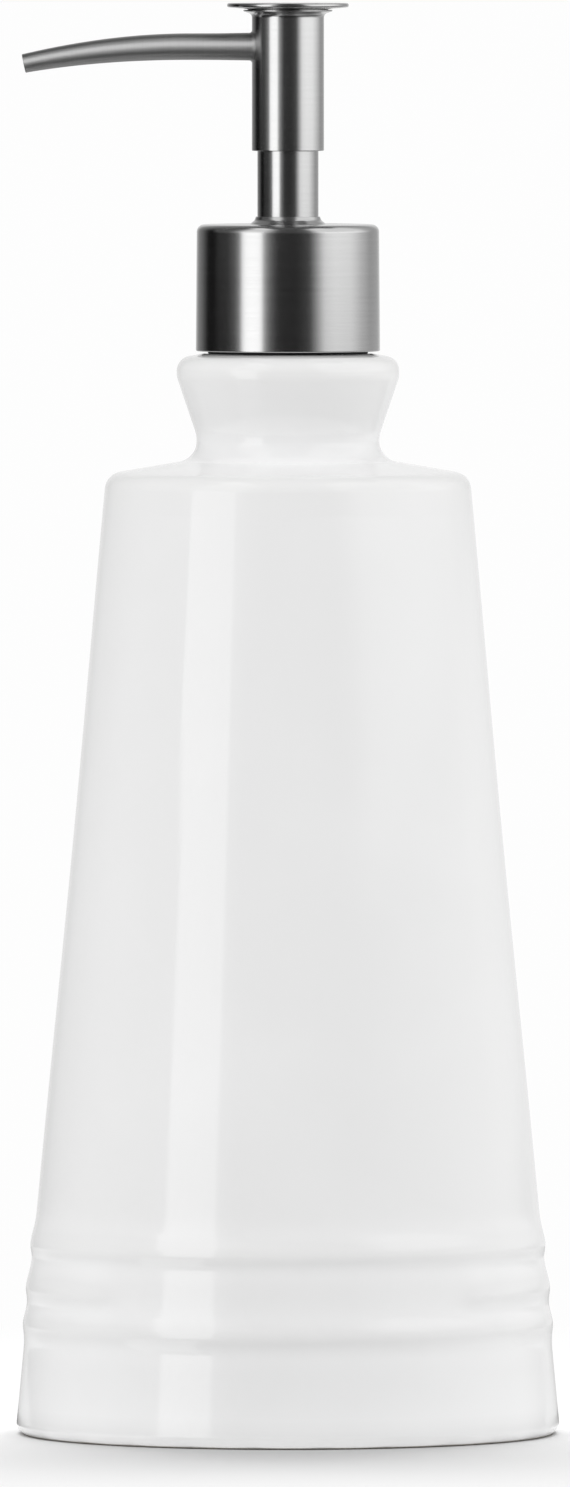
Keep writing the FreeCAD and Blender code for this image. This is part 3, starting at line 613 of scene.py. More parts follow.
@dataclass(frozen=True)
class BrushedSteel(Finish):
    """Stainless steel with fine brushed lines, which spread highlights across the lines.

    Attributes:
        tone: Darkest and lightest tone of the lines.
        roughness: Roughness of the smoothest and the roughest lines.
        anisotropy: How much more the highlights spread across the lines than along them.
        quarter: Turn of the spread against the map's U, as a share of a full turn.
        pitch: Mean distance between lines, in millimetres.
        reach: Mean length of a line, in millimetres.
        depth: Depth of the lines, in millimetres.
        line_share: Share of single lines in the pattern, of which broader bands make up the rest.
        band_cells: Bands for each line.
    """

    tone: tuple[float, float] = (0.53, 0.58)
    roughness: tuple[float, float] = (0.2, 0.235)
    anisotropy: float = 0.6
    quarter: float = 0.25
    pitch: float = 0.1
    reach: float = 5.0
    depth: float = 0.0004
    line_share: float = 0.6
    band_cells: float = 0.22

    def paint(self, graph: Graph) -> None:
        """Paint lines round the axis of the piece.

        The lines are noise that changes slowly in space and fast along the outline, which is V of the map.

        Args:
            graph: Graph of the material.
        """
        slow = 1.0 / (self.reach * MM)
        fast = 1.0 / (self.pitch * MM)
        x, y, z = (graph.maths("MULTIPLY", part, slow) for part in graph.parts(graph.place()))
        along = graph.parts(graph.add("ShaderNodeUVMap", uv_map=TURNED_UV).outputs[0])[1]
        drift = graph.maths("ADD", z, graph.maths("MULTIPLY", along, fast))
        place = graph.joined(x, y, drift)
        lines = graph.noise(place, detail=3.0)
        fine = graph.maths("MULTIPLY", lines, self.line_share)
        broad = graph.maths("MULTIPLY", graph.noise(place, self.band_cells), 1.0 - self.line_share)
        both = graph.maths("ADD", fine, broad)
        colour = graph.blend(graph.spread(both), *map(grey, self.tone))
        tangent = graph.add("ShaderNodeTangent", direction_type="UV_MAP", uv_map=TURNED_UV)
        graph.feed(graph.shader.inputs["Tangent"], tangent.outputs[0])
        graph.set(Metallic=1.0, Anisotropic=self.anisotropy, Anisotropic_Rotation=self.quarter)
        graph.dress(colour, graph.spread(both, *self.roughness), graph.relief(lines, self.depth * MM))


@dataclass(frozen=True)
class BrightSteel(Finish):
    """Drawn or ground steel with a bright surface and faint drawing marks.

    Attributes:
        tone: Darkest and lightest tone.
        roughness: Least and greatest roughness.
        mark_cells: Marks in a metre.
        depth: Depth of the marks, in millimetres.
    """

    tone: tuple[float, float] = (0.58, 0.70)
    roughness: tuple[float, float] = (0.08, 0.2)
    mark_cells: float = 1800.0
    depth: float = 0.001

    def paint(self, graph: Graph) -> None:
        """Paint bright metal with marks in tone, roughness and relief.

        Args:
            graph: Graph of the material.
        """
        marks = graph.noise(graph.place(), self.mark_cells, 4.0)
        colour = graph.blend(graph.spread(marks), *map(grey, self.tone))
        graph.set(Metallic=1.0)
        graph.dress(colour, graph.spread(marks, *self.roughness), graph.relief(marks, self.depth * MM))


@dataclass(frozen=True)
class MouldedFinish(Finish):
    """Moulded plastic or rubber with a fine grain and slight clouding.

    Attributes:
        colour: Its colour.
        roughness: Least and greatest roughness.
        grain: Size of the grain, in millimetres.
        depth: Depth of the grain, in millimetres.
        clearness: Share of light that passes through it.
        cloud: Factors on the colour in the darkest and the lightest clouds.
        cloud_cells: Clouds in a metre.
        ior: Refractive index.
    """

    colour: Colour
    roughness: tuple[float, float] = (0.32, 0.48)
    grain: float = 0.35
    depth: float = 0.004
    clearness: float = 0.0
    cloud: tuple[float, float] = (0.93, 1.04)
    cloud_cells: float = 160.0
    ior: float = 1.49

    def paint(self, graph: Graph) -> None:
        """Paint a clouded colour with a grain in roughness and relief.

        Args:
            graph: Graph of the material.
        """
        place = graph.place()
        cloud = graph.spread(graph.noise(place, self.cloud_cells, 3.0))
        grain = graph.noise(place, 1.0 / (self.grain * MM), 3.0)
        dark, light = (solid(self.colour, factor) for factor in self.cloud)
        graph.set(IOR=self.ior, Transmission_Weight=self.clearness)
        colour = graph.blend(cloud, dark, light)
        graph.dress(colour, graph.spread(grain, *self.roughness), graph.relief(grain, self.depth * MM))


# Pieces


@dataclass(frozen=True)
class Ring:
    """A soft ring round the foot of the bottle.

    Attributes:
        crest: Height of its crest.
        rise: How far the crest stands out.
        above: Distance over the crest at which half of the rise is left.
        below: The same distance under the crest.
    """

    crest: float
    rise: float
    above: float
    below: float

    def relief(self, up: np.ndarray) -> np.ndarray:
        """Rise at some heights: a bell curve, rise * 2^-(d / half width)^2 at distance d from the crest.

        Args:
            up: The heights.

        Returns:
            The rise at each of them.
        """
        distance = up - self.crest
        half_width = np.where(distance > 0.0, self.above, self.below)
        return self.rise * np.exp2(-((distance / half_width) ** 2))


@dataclass
class GlazedBottle:
    """The stoneware bottle: a cone with rings at its foot, a flat shoulder, a waisted neck and a lip."""

    base_radius: float = 41.9
    base_round: float = 1.7
    foot_inner: float = 34.6
    foot_recess: float = 1.2
    foot_round: float = 0.6
    floor_top: float = 6.2
    body_wall: float = 4.2
    inside_round: float = 6.0
    shoulder_radius: float = 27.95
    shoulder_height: float = 147.6
    shoulder_round: float = 2.8
    shoulder_top: float = 150.0
    neck_root_round: float = 3.2
    waist_radius: float = 14.05
    waist_top: float = 153.6
    waist_round: float = 5.0
    lip_radius: float = 17.1
    lip_base: float = 162.6
    lip_under_round: float = 3.0
    lip_top: float = 165.45
    lip_round: float = 2.3
    rim_land: float = 12.9
    rim_land_round: float = 1.2
    rim_top: float = 166.2
    rim_round: float = 0.35
    mouth_radius: float = 10.95
    mouth_root_round: float = 1.0
    rings: tuple[Ring, Ring, Ring] = (Ring(17.1, 0.48, 1.8, 1.55), Ring(22.7, 0.54, 2.4, 1.6),
                                      Ring(29.4, 0.49, 2.1, 1.25))
    ring_zone: tuple[float, float] = (8.5, 37.0)
    ring_stride: float = 0.26
    flank_hollow: float = 0.22
    front_gap: float = math.radians(86.0)
    gap_fade: float = math.radians(10.0)
    end_reach: float = 1.2
    end_clear: float = 1.3
    columns: int = 192
    end_columns: int = 18
    pool_step: float = 0.1
    pool_steps: int = 40
    pool_reach: float = 1.3
    pool_gain: float = 4.0
    # Painted fill light: whiter glaze near the foot, against the floor's shadow there.
    foot_fill_light: float = 0.9
    foot_fill_light_height: float = 11.0
    foot_fill_light_depth: float = 4.0
    bare_height: float = 0.25
    bare_margin: float = 1.0

    def cone(self, up: Numbers, inset: float = 0.0) -> Numbers:
        """Radius of the cone at a height, less an inset."""
        drop = (self.base_radius - self.shoulder_radius) / self.shoulder_height
        return self.base_radius - inset - drop * up

    def corners(self) -> list[Corner]:
        """Set out the outline, from the middle of the foot over the lip to the middle of the floor.

        Returns:
            Its corners in order.
        """
        low, high = self.ring_zone
        inside_top = self.shoulder_height - self.body_wall
        return [
            Corner(0.0, self.foot_recess, stride=9.0),
            Corner(self.foot_inner, self.foot_recess, self.foot_round),
            Corner(self.foot_inner, 0.0, self.foot_round),
            Corner(self.base_radius, 0.0, self.base_round, stride=1.5),
            Corner(self.cone(low), low, stride=self.ring_stride),
            Corner(self.cone(high), high),
            Corner(self.shoulder_radius, self.shoulder_height, self.shoulder_round, stride=1.5),
            Corner(self.waist_radius, self.shoulder_top, self.neck_root_round),
            Corner(self.waist_radius, self.waist_top, self.waist_round, stride=1.0),
            Corner(self.lip_radius, self.lip_base, self.lip_under_round),
            Corner(self.lip_radius, self.lip_top, self.lip_round, stride=0.8),
            Corner(self.rim_land, self.rim_top, self.rim_land_round),
            Corner(self.mouth_radius, self.rim_top, self.rim_round, stride=5.0),
            Corner(self.mouth_radius, self.shoulder_top - self.body_wall, self.mouth_root_round),
            Corner(self.cone(inside_top, self.body_wall), inside_top, self.inside_round, stride=16.0),
            Corner(self.cone(self.floor_top, self.body_wall), self.floor_top, self.inside_round, stride=9.0),
            Corner(0.0, self.floor_top),
        ]

    def hollow(self, up: np.ndarray) -> np.ndarray:
        """Slight hollow of the flank at some heights: depth times sin^2 from the rings to the shoulder."""
        low, high = self.ring_zone[1], self.shoulder_height
        return self.flank_hollow * np.sin(math.pi * np.clip((up - low) / (high - low), 0.0, 1.0)) ** 2

    def angles(self) -> np.ndarray:
        """Space the columns, closer together where the middle ring runs out at the front.

        Returns:
            Their angles in order.
        """
        half = self.front_gap / 2.0
        reach = self.end_reach * self.gap_fade
        ends = np.linspace(half - reach, half + reach, self.end_columns)
        even = round_angles(self.columns)
        apart = np.abs(np.abs(even) - half) > self.end_clear * self.gap_fade
        return np.sort(np.concatenate([even[apart], ends, -ends]))

    def front_window(self, angles: np.ndarray) -> np.ndarray:
        """Share of the middle ring at some angles: 0 over the plain front, 1 beyond, an S-curve between."""
        share = np.clip((np.abs(angles) - self.front_gap / 2.0) / self.gap_fade + 0.5, 0.0, 1.0)
        return share**2 * (3.0 - 2.0 * share)

    def pooling_and_fill_light(self, outline: np.ndarray) -> np.ndarray:
        """How far the glaze runs together along an outline, which also sets where fill light is painted: from
        -1 on sharp edges to 1 in hollows.

        The bend of the outline is the change of its direction by length. It is read at even steps, smoothed
        by a bell curve, and squeezed by the hyperbolic tangent.

        Args:
            outline: Points (across, up), one row each.

        Returns:
            One number for each point.
        """
        along = run_length(outline)
        steps = np.arange(0.0, along[-1], self.pool_step)
        even = np.stack([np.interp(steps, along, outline[:, part]) for part in (0, 1)], axis=-1)
        slope = np.gradient(even, steps, axis=0)
        heading = np.unwrap(np.arctan2(slope[:, 1], slope[:, 0]))
        offsets = np.arange(-self.pool_steps, self.pool_steps + 1) * self.pool_step
        bell = np.exp(-0.5 * (offsets / self.pool_reach) ** 2)
        bend = np.convolve(np.gradient(heading, steps), bell / bell.sum(), mode="same")
        return np.interp(along, steps, -np.tanh(self.pool_gain * bend))

    def build(self, glaze: bpy.types.Material) -> bpy.types.Object:
        """Build the bottle with its rings and dress it.

        Row i and column j of the surface lies at r = outline r_i + low ring + top ring - hollow + middle ring
        times the front window of angle a_j, with rings and hollow only on the outside of the cone.

        Args:
            glaze: Its finish.

        Returns:
            The bottle.
        """
        outline = rounded_outline(self.corners(), closed=False)
        angles = self.angles()
        on_cone = np.abs(outline[:, 0] - self.cone(outline[:, 1])) < ON_CONE
        low, middle, top = (ring.relief(outline[:, 1]) * on_cone for ring in self.rings)
        flank = low + top - self.hollow(outline[:, 1]) * on_cone
        bare_front = outline + np.stack([flank, np.zeros_like(low)], axis=-1)
        ringed = bare_front + np.stack([middle, np.zeros_like(low)], axis=-1)
        window = self.front_window(angles)[None, :, None]
        wide = bare_front[:, None, :] + window * (ringed - bare_front)[:, None, :]
        front_pool_and_fill_light = self.pooling_and_fill_light(bare_front)[:, None]
        pool_and_fill_light = front_pool_and_fill_light + window[..., 0] * (self.pooling_and_fill_light(ringed)[:, None] - front_pool_and_fill_light)
        # Painted fill light: the glaze is whiter low on the outside, against the shade near the floor.
        outside = outline[:, 0] >= self.base_radius - self.foot_fill_light_depth
        pool_and_fill_light += (outside * self.foot_fill_light * np.exp(-outline[:, 1] / self.foot_fill_light_height))[:, None]
        under = (outline[:, 1] < self.bare_height) & (outline[:, 0] > self.foot_inner - self.bare_margin)
        bare = np.repeat(under.astype(float)[:, None], len(angles), axis=1)
        piece = grid_piece("glazed_bottle", turned_grid(wide, angles), turned_uv(outline, angles),
                           {POOLING_AND_FILL_LIGHT: pool_and_fill_light, BARE: bare})
        return install(piece, Body.BOTTLE, Slot.GLAZE, glaze, "bottle_body")


class TurnedRing:
    """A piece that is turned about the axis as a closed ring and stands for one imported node."""

    name: ClassVar[str]
    node: ClassVar[str]
    body: ClassVar[Body]
    slot: ClassVar[Slot]
    columns: int

    def corners(self) -> list[Corner]:
        """Corners of the outline, as each piece sets them out."""
        raise NotImplementedError

    def build(self, finish: bpy.types.Material) -> bpy.types.Object:
        """Turn the piece and dress it.

        Args:
            finish: Its finish.

        Returns:
            The piece.
        """
        piece = turned_piece(self.name, self.corners(), self.columns)
        return install(piece, self.body, self.slot, finish, self.node)


@dataclass
class MouthSeal(TurnedRing):
    """The flat dark ring between the lip of the bottle and the flange of its threaded bush."""

    name: ClassVar[str] = "mouth_seal"
    node: ClassVar[str] = "rim_gasket"
    body: ClassVar[Body] = Body.BOTTLE
    slot: ClassVar[Slot] = Slot.RUBBER
    inner: float = 10.95
    outer: float = 12.3
    base: float = 166.2
    top: float = 166.75
    edge_round: float = 0.15
    columns: int = 128

    def corners(self) -> list[Corner]:
        """Set out the four corners of a flat ring.

        Returns:
            The corners in order.
        """
        return [
            Corner(self.inner, self.base, self.edge_round),
            Corner(self.outer, self.base, self.edge_round),
            Corner(self.outer, self.top, self.edge_round),
            Corner(self.inner, self.top, self.edge_round),
        ]


@dataclass
class SteelCollar(TurnedRing):
    """The drawn steel collar with its rounded shoulder and the flared lip round the guide tube."""

    name: ClassVar[str] = "steel_collar"
    node: ClassVar[str] = "collar_shell"
    body: ClassVar[Body] = Body.COLLAR
    slot: ClassVar[Slot] = Slot.BRUSHED_STEEL
    foot_radius: float = 14.15
    shoulder_radius: float = 14.0
    bore: float = 13.4
    base: float = 166.55
    ceiling: float = 185.7
    ceiling_round: float = 0.65
    top: float = 186.0
    shoulder_round: float = 1.15
    hem_round: float = 0.2
    lip_bore: float = 4.77
    lip_radius: float = 4.93
    lip_top: float = 187.2
    lip_rounds: tuple[float, float] = (0.06, 0.08)
    lip_root_round: float = 0.1
    lip_flare: float = 1.0
    lip_flare_round: float = 0.35
    lip_bend: float = 186.65
    lip_bend_out: float = 0.2
    lip_bend_round: float = 0.6
    columns: int = 192

    def corners(self) -> list[Corner]:
        """Set out the collar from its foot over the shoulder and the lip back to its bore.

        Returns:
            The corners in order.
        """
        return [
            Corner(self.bore, self.base, self.hem_round),
            Corner(self.foot_radius, self.base, self.hem_round),
            Corner(self.shoulder_radius, self.top, self.shoulder_round, stride=2.0),
            Corner(self.lip_radius + self.lip_flare, self.top, self.lip_flare_round),
            Corner(self.lip_radius + self.lip_bend_out, self.lip_bend, self.lip_bend_round),
            Corner(self.lip_radius, self.lip_top, self.lip_rounds[0]),
            Corner(self.lip_bore, self.lip_top, self.lip_rounds[1]),
            Corner(self.lip_bore, self.ceiling, self.lip_root_round),
            Corner(self.bore, self.ceiling, self.ceiling_round),
        ]


@dataclass
class GuideTube(TurnedRing):
    """The thin steel tube that stands in the collar, over which the head slides."""

    name: ClassVar[str] = "guide_tube_steel"
    node: ClassVar[str] = "guide_tube"
    body: ClassVar[Body] = Body.PUMP
    slot: ClassVar[Slot] = Slot.BRUSHED_STEEL
    bore: float = 4.35
    radius: float = 4.7
    base: float = 185.3
    top: float = 200.3
    foot_radius: float = 6.3
    foot_top: float = 185.6
    edge_round: float = 0.1
    columns: int = 128

    def corners(self) -> list[Corner]:
        """Set out the tube from its foot over the outside back to its bore.

        Returns:
            The corners in order.
        """
        return [
            Corner(self.bore, self.base, self.edge_round),
            Corner(self.foot_radius, self.base, self.edge_round),
            Corner(self.foot_radius, self.foot_top, self.edge_round),
            Corner(self.radius, self.foot_top, self.edge_round, stride=2.0),
            Corner(self.radius, self.top, self.edge_round),
            Corner(self.bore, self.top, self.edge_round, stride=6.0),
        ]


@dataclass
class PumpHead:
    """The head: sleeve with a flared rim, finger pad, and bent spout brazed into the sleeve."""

    sleeve_bore: float = 5.05
    sleeve_radius: float = 5.55
    sleeve_base: float = 197.3
    sleeve_top: float = 218.95
    sleeve_flare: float = 1.3
    sleeve_flare_rise: float = 0.45
    sleeve_flare_round: float = 0.7
    sleeve_edge: float = 0.22
    sleeve_edge_rounds: tuple[float, float] = (0.1, 0.08)
    sleeve_mouth_round: float = 0.1
    sleeve_hem_round: float = 0.12
    pad_radius: float = 9.35
    pad_base: float = 219.05
    pad_undercut: float = 0.3
    pad_top: float = 220.0
    pad_round: float = 0.29
    pad_land: float = 6.2
    pad_land_round: float = 0.05
    pad_seat_round: float = 0.02
    pad_spigot: float = 5.0
    pad_spigot_base: float = 217.2
    pad_spigot_round: float = 0.1
    spout_height: float = 213.3
    spout_seat: float = 2.6
    spout_straight: float = 15.0
    spout_reach: float = 40.6
    spout_drop: float = 2.6
    spout_taper: Stops = ((2.6, 2.1), (5.6, 2.14), (8.0, 2.1), (11.0, 2.05), (17.0, 2.04), (22.0, 1.985),
                          (28.0, 1.85), (34.0, 1.665), (40.6, 1.445))
    spout_wall: float = 0.4
    spout_edge_round: float = 0.1
    spout_rows: int = 96
    spout_smoothing: int = 9
    spout_tip_rows: int = 9
    spout_columns: int = 72
    braze: float = 0.35
    braze_sunk: float = 0.12
    braze_rows: int = 12
    columns: int = 144

    def build(self, turned: bpy.types.Material, drawn: bpy.types.Material) -> list[bpy.types.Object]:
        """Build the pieces of the head and dress them.

        Args:
            turned: Brushed steel of sleeve and pad.
            drawn: Softer brushed steel of the spout.

        Returns:
            Sleeve, pad, spout and braze.
        """
        pieces = ((self.sleeve(), turned, "head_sleeve"), (self.pad(), turned, "finger_pad"),
                  (self.spout(), drawn, "spout_tube"))
        made = [install(piece, Body.HEAD, Slot.BRUSHED_STEEL, steel, node) for piece, steel, node in pieces]
        made.append(install(self.braze_ring(), Body.HEAD, Slot.BRUSHED_STEEL, drawn))
        return made

    def sleeve(self) -> bpy.types.Object:
        """Turn the sleeve with its flared rim.

        Returns:
            The sleeve.
        """
        rim = self.sleeve_radius + self.sleeve_flare
        rim_base = self.sleeve_top - self.sleeve_edge
        return turned_piece("pump_sleeve", [
            Corner(self.sleeve_bore, self.sleeve_base, self.sleeve_hem_round),
            Corner(self.sleeve_radius, self.sleeve_base, self.sleeve_hem_round, stride=2.0),
            Corner(self.sleeve_radius, rim_base - self.sleeve_flare_rise, self.sleeve_flare_round),
            Corner(rim, rim_base, self.sleeve_edge_rounds[0]),
            Corner(rim, self.sleeve_top, self.sleeve_edge_rounds[1]),
            Corner(self.sleeve_bore, self.sleeve_top, self.sleeve_mouth_round, stride=6.0),
        ], self.columns)

    def pad(self) -> bpy.types.Object:
        """Turn the finger pad: a disc with a full edge, a sloping underside, and a spigot in the sleeve.

        Returns:
            The pad.
        """
        return turned_piece("finger_disc", [
            Corner(0.0, self.pad_spigot_base),
            Corner(self.pad_spigot, self.pad_spigot_base, self.pad_spigot_round),
            Corner(self.pad_spigot, self.sleeve_top, self.pad_seat_round),
            Corner(self.pad_land, self.sleeve_top, self.pad_seat_round, stride=0.8),
            Corner(self.pad_land, self.pad_base, self.pad_land_round),
            Corner(self.pad_radius, self.pad_base + self.pad_undercut, self.pad_round),
            Corner(self.pad_radius, self.pad_top, self.pad_round, stride=0.6),
            Corner(0.0, self.pad_top),
        ], self.columns, closed=False)

    def spout_path(self, out: np.ndarray) -> tuple[np.ndarray, np.ndarray]:
        """Height and slope of the spout's middle line at distances out from the axis.

        It is level as far as the knee, and then follows the circle that touches it there and passes through
        the tip: with d past the knee and circle radius R, it has dropped by R - sqrt(R^2 - d^2).

        Args:
            out: Distances from the axis.

        Returns:
            Heights, and falls in millimetres for each millimetre out.
        """
        span = self.spout_reach - self.spout_straight
        bend = (span**2 + self.spout_drop**2) / (2.0 * self.spout_drop)
        past = np.clip(out - self.spout_straight, 0.0, None)
        rise = np.sqrt(bend**2 - past**2)
        return self.spout_height - bend + rise, past / rise

    def spout_rings(self) -> tuple[np.ndarray, np.ndarray]:
        """Set out the spout's rings: along the outside, round the tip and back in the bore.

        The outside follows the taper, smoothed by a bell curve. The tip is half an ellipse over the wall.

        Returns:
            Distances from the axis, and radii.
        """
        out = np.linspace(self.spout_seat, self.spout_reach, self.spout_rows)
        bell = np.hanning(self.spout_smoothing + 2)[1:-1]
        padded = np.pad(between(self.spout_taper, out), self.spout_smoothing // 2, mode="edge")
        outer = np.convolve(padded, bell / bell.sum(), "valid")
        turn = np.linspace(0.0, math.pi, self.spout_tip_rows)
        half_wall = self.spout_wall / 2.0
        tip_start = self.spout_reach - self.spout_edge_round
        tip_out = tip_start + self.spout_edge_round * np.sin(turn)
        tip_ring = outer[-1] - half_wall + half_wall * np.cos(turn)
        straight = out < tip_start
        inner = outer - self.spout_wall
        distances = np.concatenate([out[straight], tip_out, out[straight][::-1], out[:1]])
        rings = np.concatenate([outer[straight], tip_ring, inner[straight][::-1], outer[:1]])
        return distances, rings

    def spout(self) -> bpy.types.Object:
        """Carry a ring of changing radius along the middle line, out over the outside and back in the bore.

        At distance t out with middle line (-t, 0, z) and unit normal n in the plane of the bend, the ring's
        point at angle b is middle + radius (n cos b + y sin b).

        Returns:
            The spout.
        """
        distances, rings = self.spout_rings()
        height, fall = self.spout_path(distances)
        angles = round_angles(self.spout_columns)
        length = np.sqrt(1.0 + fall**2)
        middle = np.stack([-distances, np.zeros_like(distances), height], axis=-1)[:, None, :]
        normal = np.stack([-fall / length, np.zeros_like(fall), 1.0 / length], axis=-1)[:, None, :]
        side = np.array([0.0, 1.0, 0.0])
        swing = normal * np.cos(angles)[None, :, None] + side * np.sin(angles)[None, :, None]
        uv = turned_uv(np.stack([distances, rings], axis=-1), angles)
        return grid_piece("bent_spout", middle + rings[:, None, None] * swing, uv)

    def braze_ring(self) -> bpy.types.Object:
        """Carry a hollow fillet round the root of the spout, where it enters the sleeve.

        With s from 0 to 1 and t = s pi / 2, the fillet stands gap = f (1 - sin t) off the wall at distance
        p = r + f (1 - cos t) from the spout's middle line. At angle b the wall stands at
        x = -sqrt(R^2 - y^2), where y = p sin b. The back of the ring is sunk in the spout and the wall.

        Returns:
            The ring of braze.
        """
        sunk = self.braze_sunk
        root = float(between(self.spout_taper, self.sleeve_radius))
        turn = np.linspace(0.0, math.pi / 2.0, self.braze_rows)
        fillet = self.braze * (1.0 - np.stack([np.cos(turn), np.sin(turn)], axis=-1)) + (root, 0.0)
        back = np.array([(root + self.braze, -sunk), (root - sunk, -sunk), (root - sunk, self.braze)])
        outline = np.concatenate([fillet, back, fillet[:1]])
        reach, gap = outline[:, :1], outline[:, 1:]
        angles = round_angles(self.spout_columns)
        y = reach * np.sin(angles)
        wall = np.sqrt(self.sleeve_radius**2 - y**2)
        points = np.stack([-(wall + gap), y, self.spout_height + reach * np.cos(angles)], axis=-1)
        return grid_piece("spout_braze", points, turned_uv(outline, angles))


@dataclass
class PumpSpring:
    """The coil spring under the piston, which shortens as the head goes down."""

    radius: float = 4.5
    wire: float = 0.8
    turns: int = 8
    low: float = 148.99
    high: float = 167.59
    seat: float = 148.54
    length: float = 19.5
    stroke: float = 9.5
    turn_rows: int = 40
    columns: int = 14

    def build(self, steel: bpy.types.Material) -> bpy.types.Object:
        """Carry a ring along the helix, close its two ends and dress it.

        At angle a the helix passes through (r cos a, r sin a, low + climb a) in the unit direction w. With o
        the unit vector outwards and u = w x o, the ring's point at angle b is
        helix + wire / 2 (o cos b + u sin b).

        Args:
            steel: Its finish.

        Returns:
            The spring.
        """
        turn = np.linspace(0.0, TURN * self.turns, self.turns * self.turn_rows + 1)
        turn = np.concatenate([turn[:1], turn, turn[-1:]])
        ring = np.full_like(turn, self.wire / 2.0)
        ring[[0, -1]] = 0.0
        climb = (self.high - self.low) / turn[-1]
        flat = np.zeros_like(turn)
        outwards = np.stack([np.cos(turn), np.sin(turn), flat], axis=-1)
        middle = self.radius * outwards + np.stack([flat, flat, self.low + climb * turn], axis=-1)
        sideways = np.stack([-np.sin(turn), np.cos(turn), flat], axis=-1)
        way = self.radius * sideways + np.array([0.0, 0.0, climb])
        upwards = np.cross(way / math.hypot(self.radius, climb), outwards)
        angles = round_angles(self.columns)
        swing = outwards[:, None, :] * np.cos(angles)[:, None] + upwards[:, None, :] * np.sin(angles)[:, None]
        points = middle[:, None, :] + ring[:, None, None] * swing
        piece = grid_piece("pump_spring", points, turned_uv(middle, angles))
        install(piece, Body.PUMP, Slot.BRIGHT_STEEL, steel, "return_spring")
        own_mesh(piece)
        return piece


@dataclass(frozen=True)
class InnerWorks:
    """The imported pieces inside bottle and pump, whose shapes stay and which only get their finishes."""

    white: tuple[str, ...] = ("screw_cap", "pump_cylinder", "chaplet", "ball_retainer", "stem", "stem_tip",
                              "head_core")
    grey: tuple[str, ...] = ("neck_insert",)
    natural: tuple[str, ...] = ("dip_tube", "piston_seal")
    rubber: tuple[str, ...] = ("housing_gasket",)
    bright: tuple[str, ...] = ("inlet_ball",)

    def dress(self, finishes: dict[Slot, bpy.types.Material]) -> None:
        """Give each of these pieces its finish.

        Args:
            finishes: Material for each slot.
        """
        groups = {Slot.WHITE_PLASTIC: self.white, Slot.GREY_PLASTIC: self.grey, Slot.RUBBER: self.rubber,
                  Slot.NATURAL_PLASTIC: self.natural, Slot.BRIGHT_STEEL: self.bright}
        for slot, names in groups.items():
            for name in names:
                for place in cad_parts[name].material_slots:
                    place.material = finishes[slot]
                LOG.info("%s: packed shape in %s", name, slot.value)


# Studio


@dataclass(frozen=True)
class Stop:
    """How bright the wall of the reflection tent shows in one direction.

    Attributes:
        angle: Direction from the front, in degrees, to the right positive.
        low: Glow of the lower part of the wall.
        high: Glow of its upper part.
        turn: Height at which the one goes over into the other, in metres.
    """

    angle: float
    low: float
    high: float
    turn: float = 0.45


@dataclass(frozen=True)
class Tint:
    """How much more or less the lower part of the tent's wall glows, by direction.

    Attributes:
        stops: Direction from the front, in degrees, and the factor there.
        rise: Heights from which on the factor fades, and where it is gone, in metres.
    """

    stops: Stops
    rise: tuple[float, float]


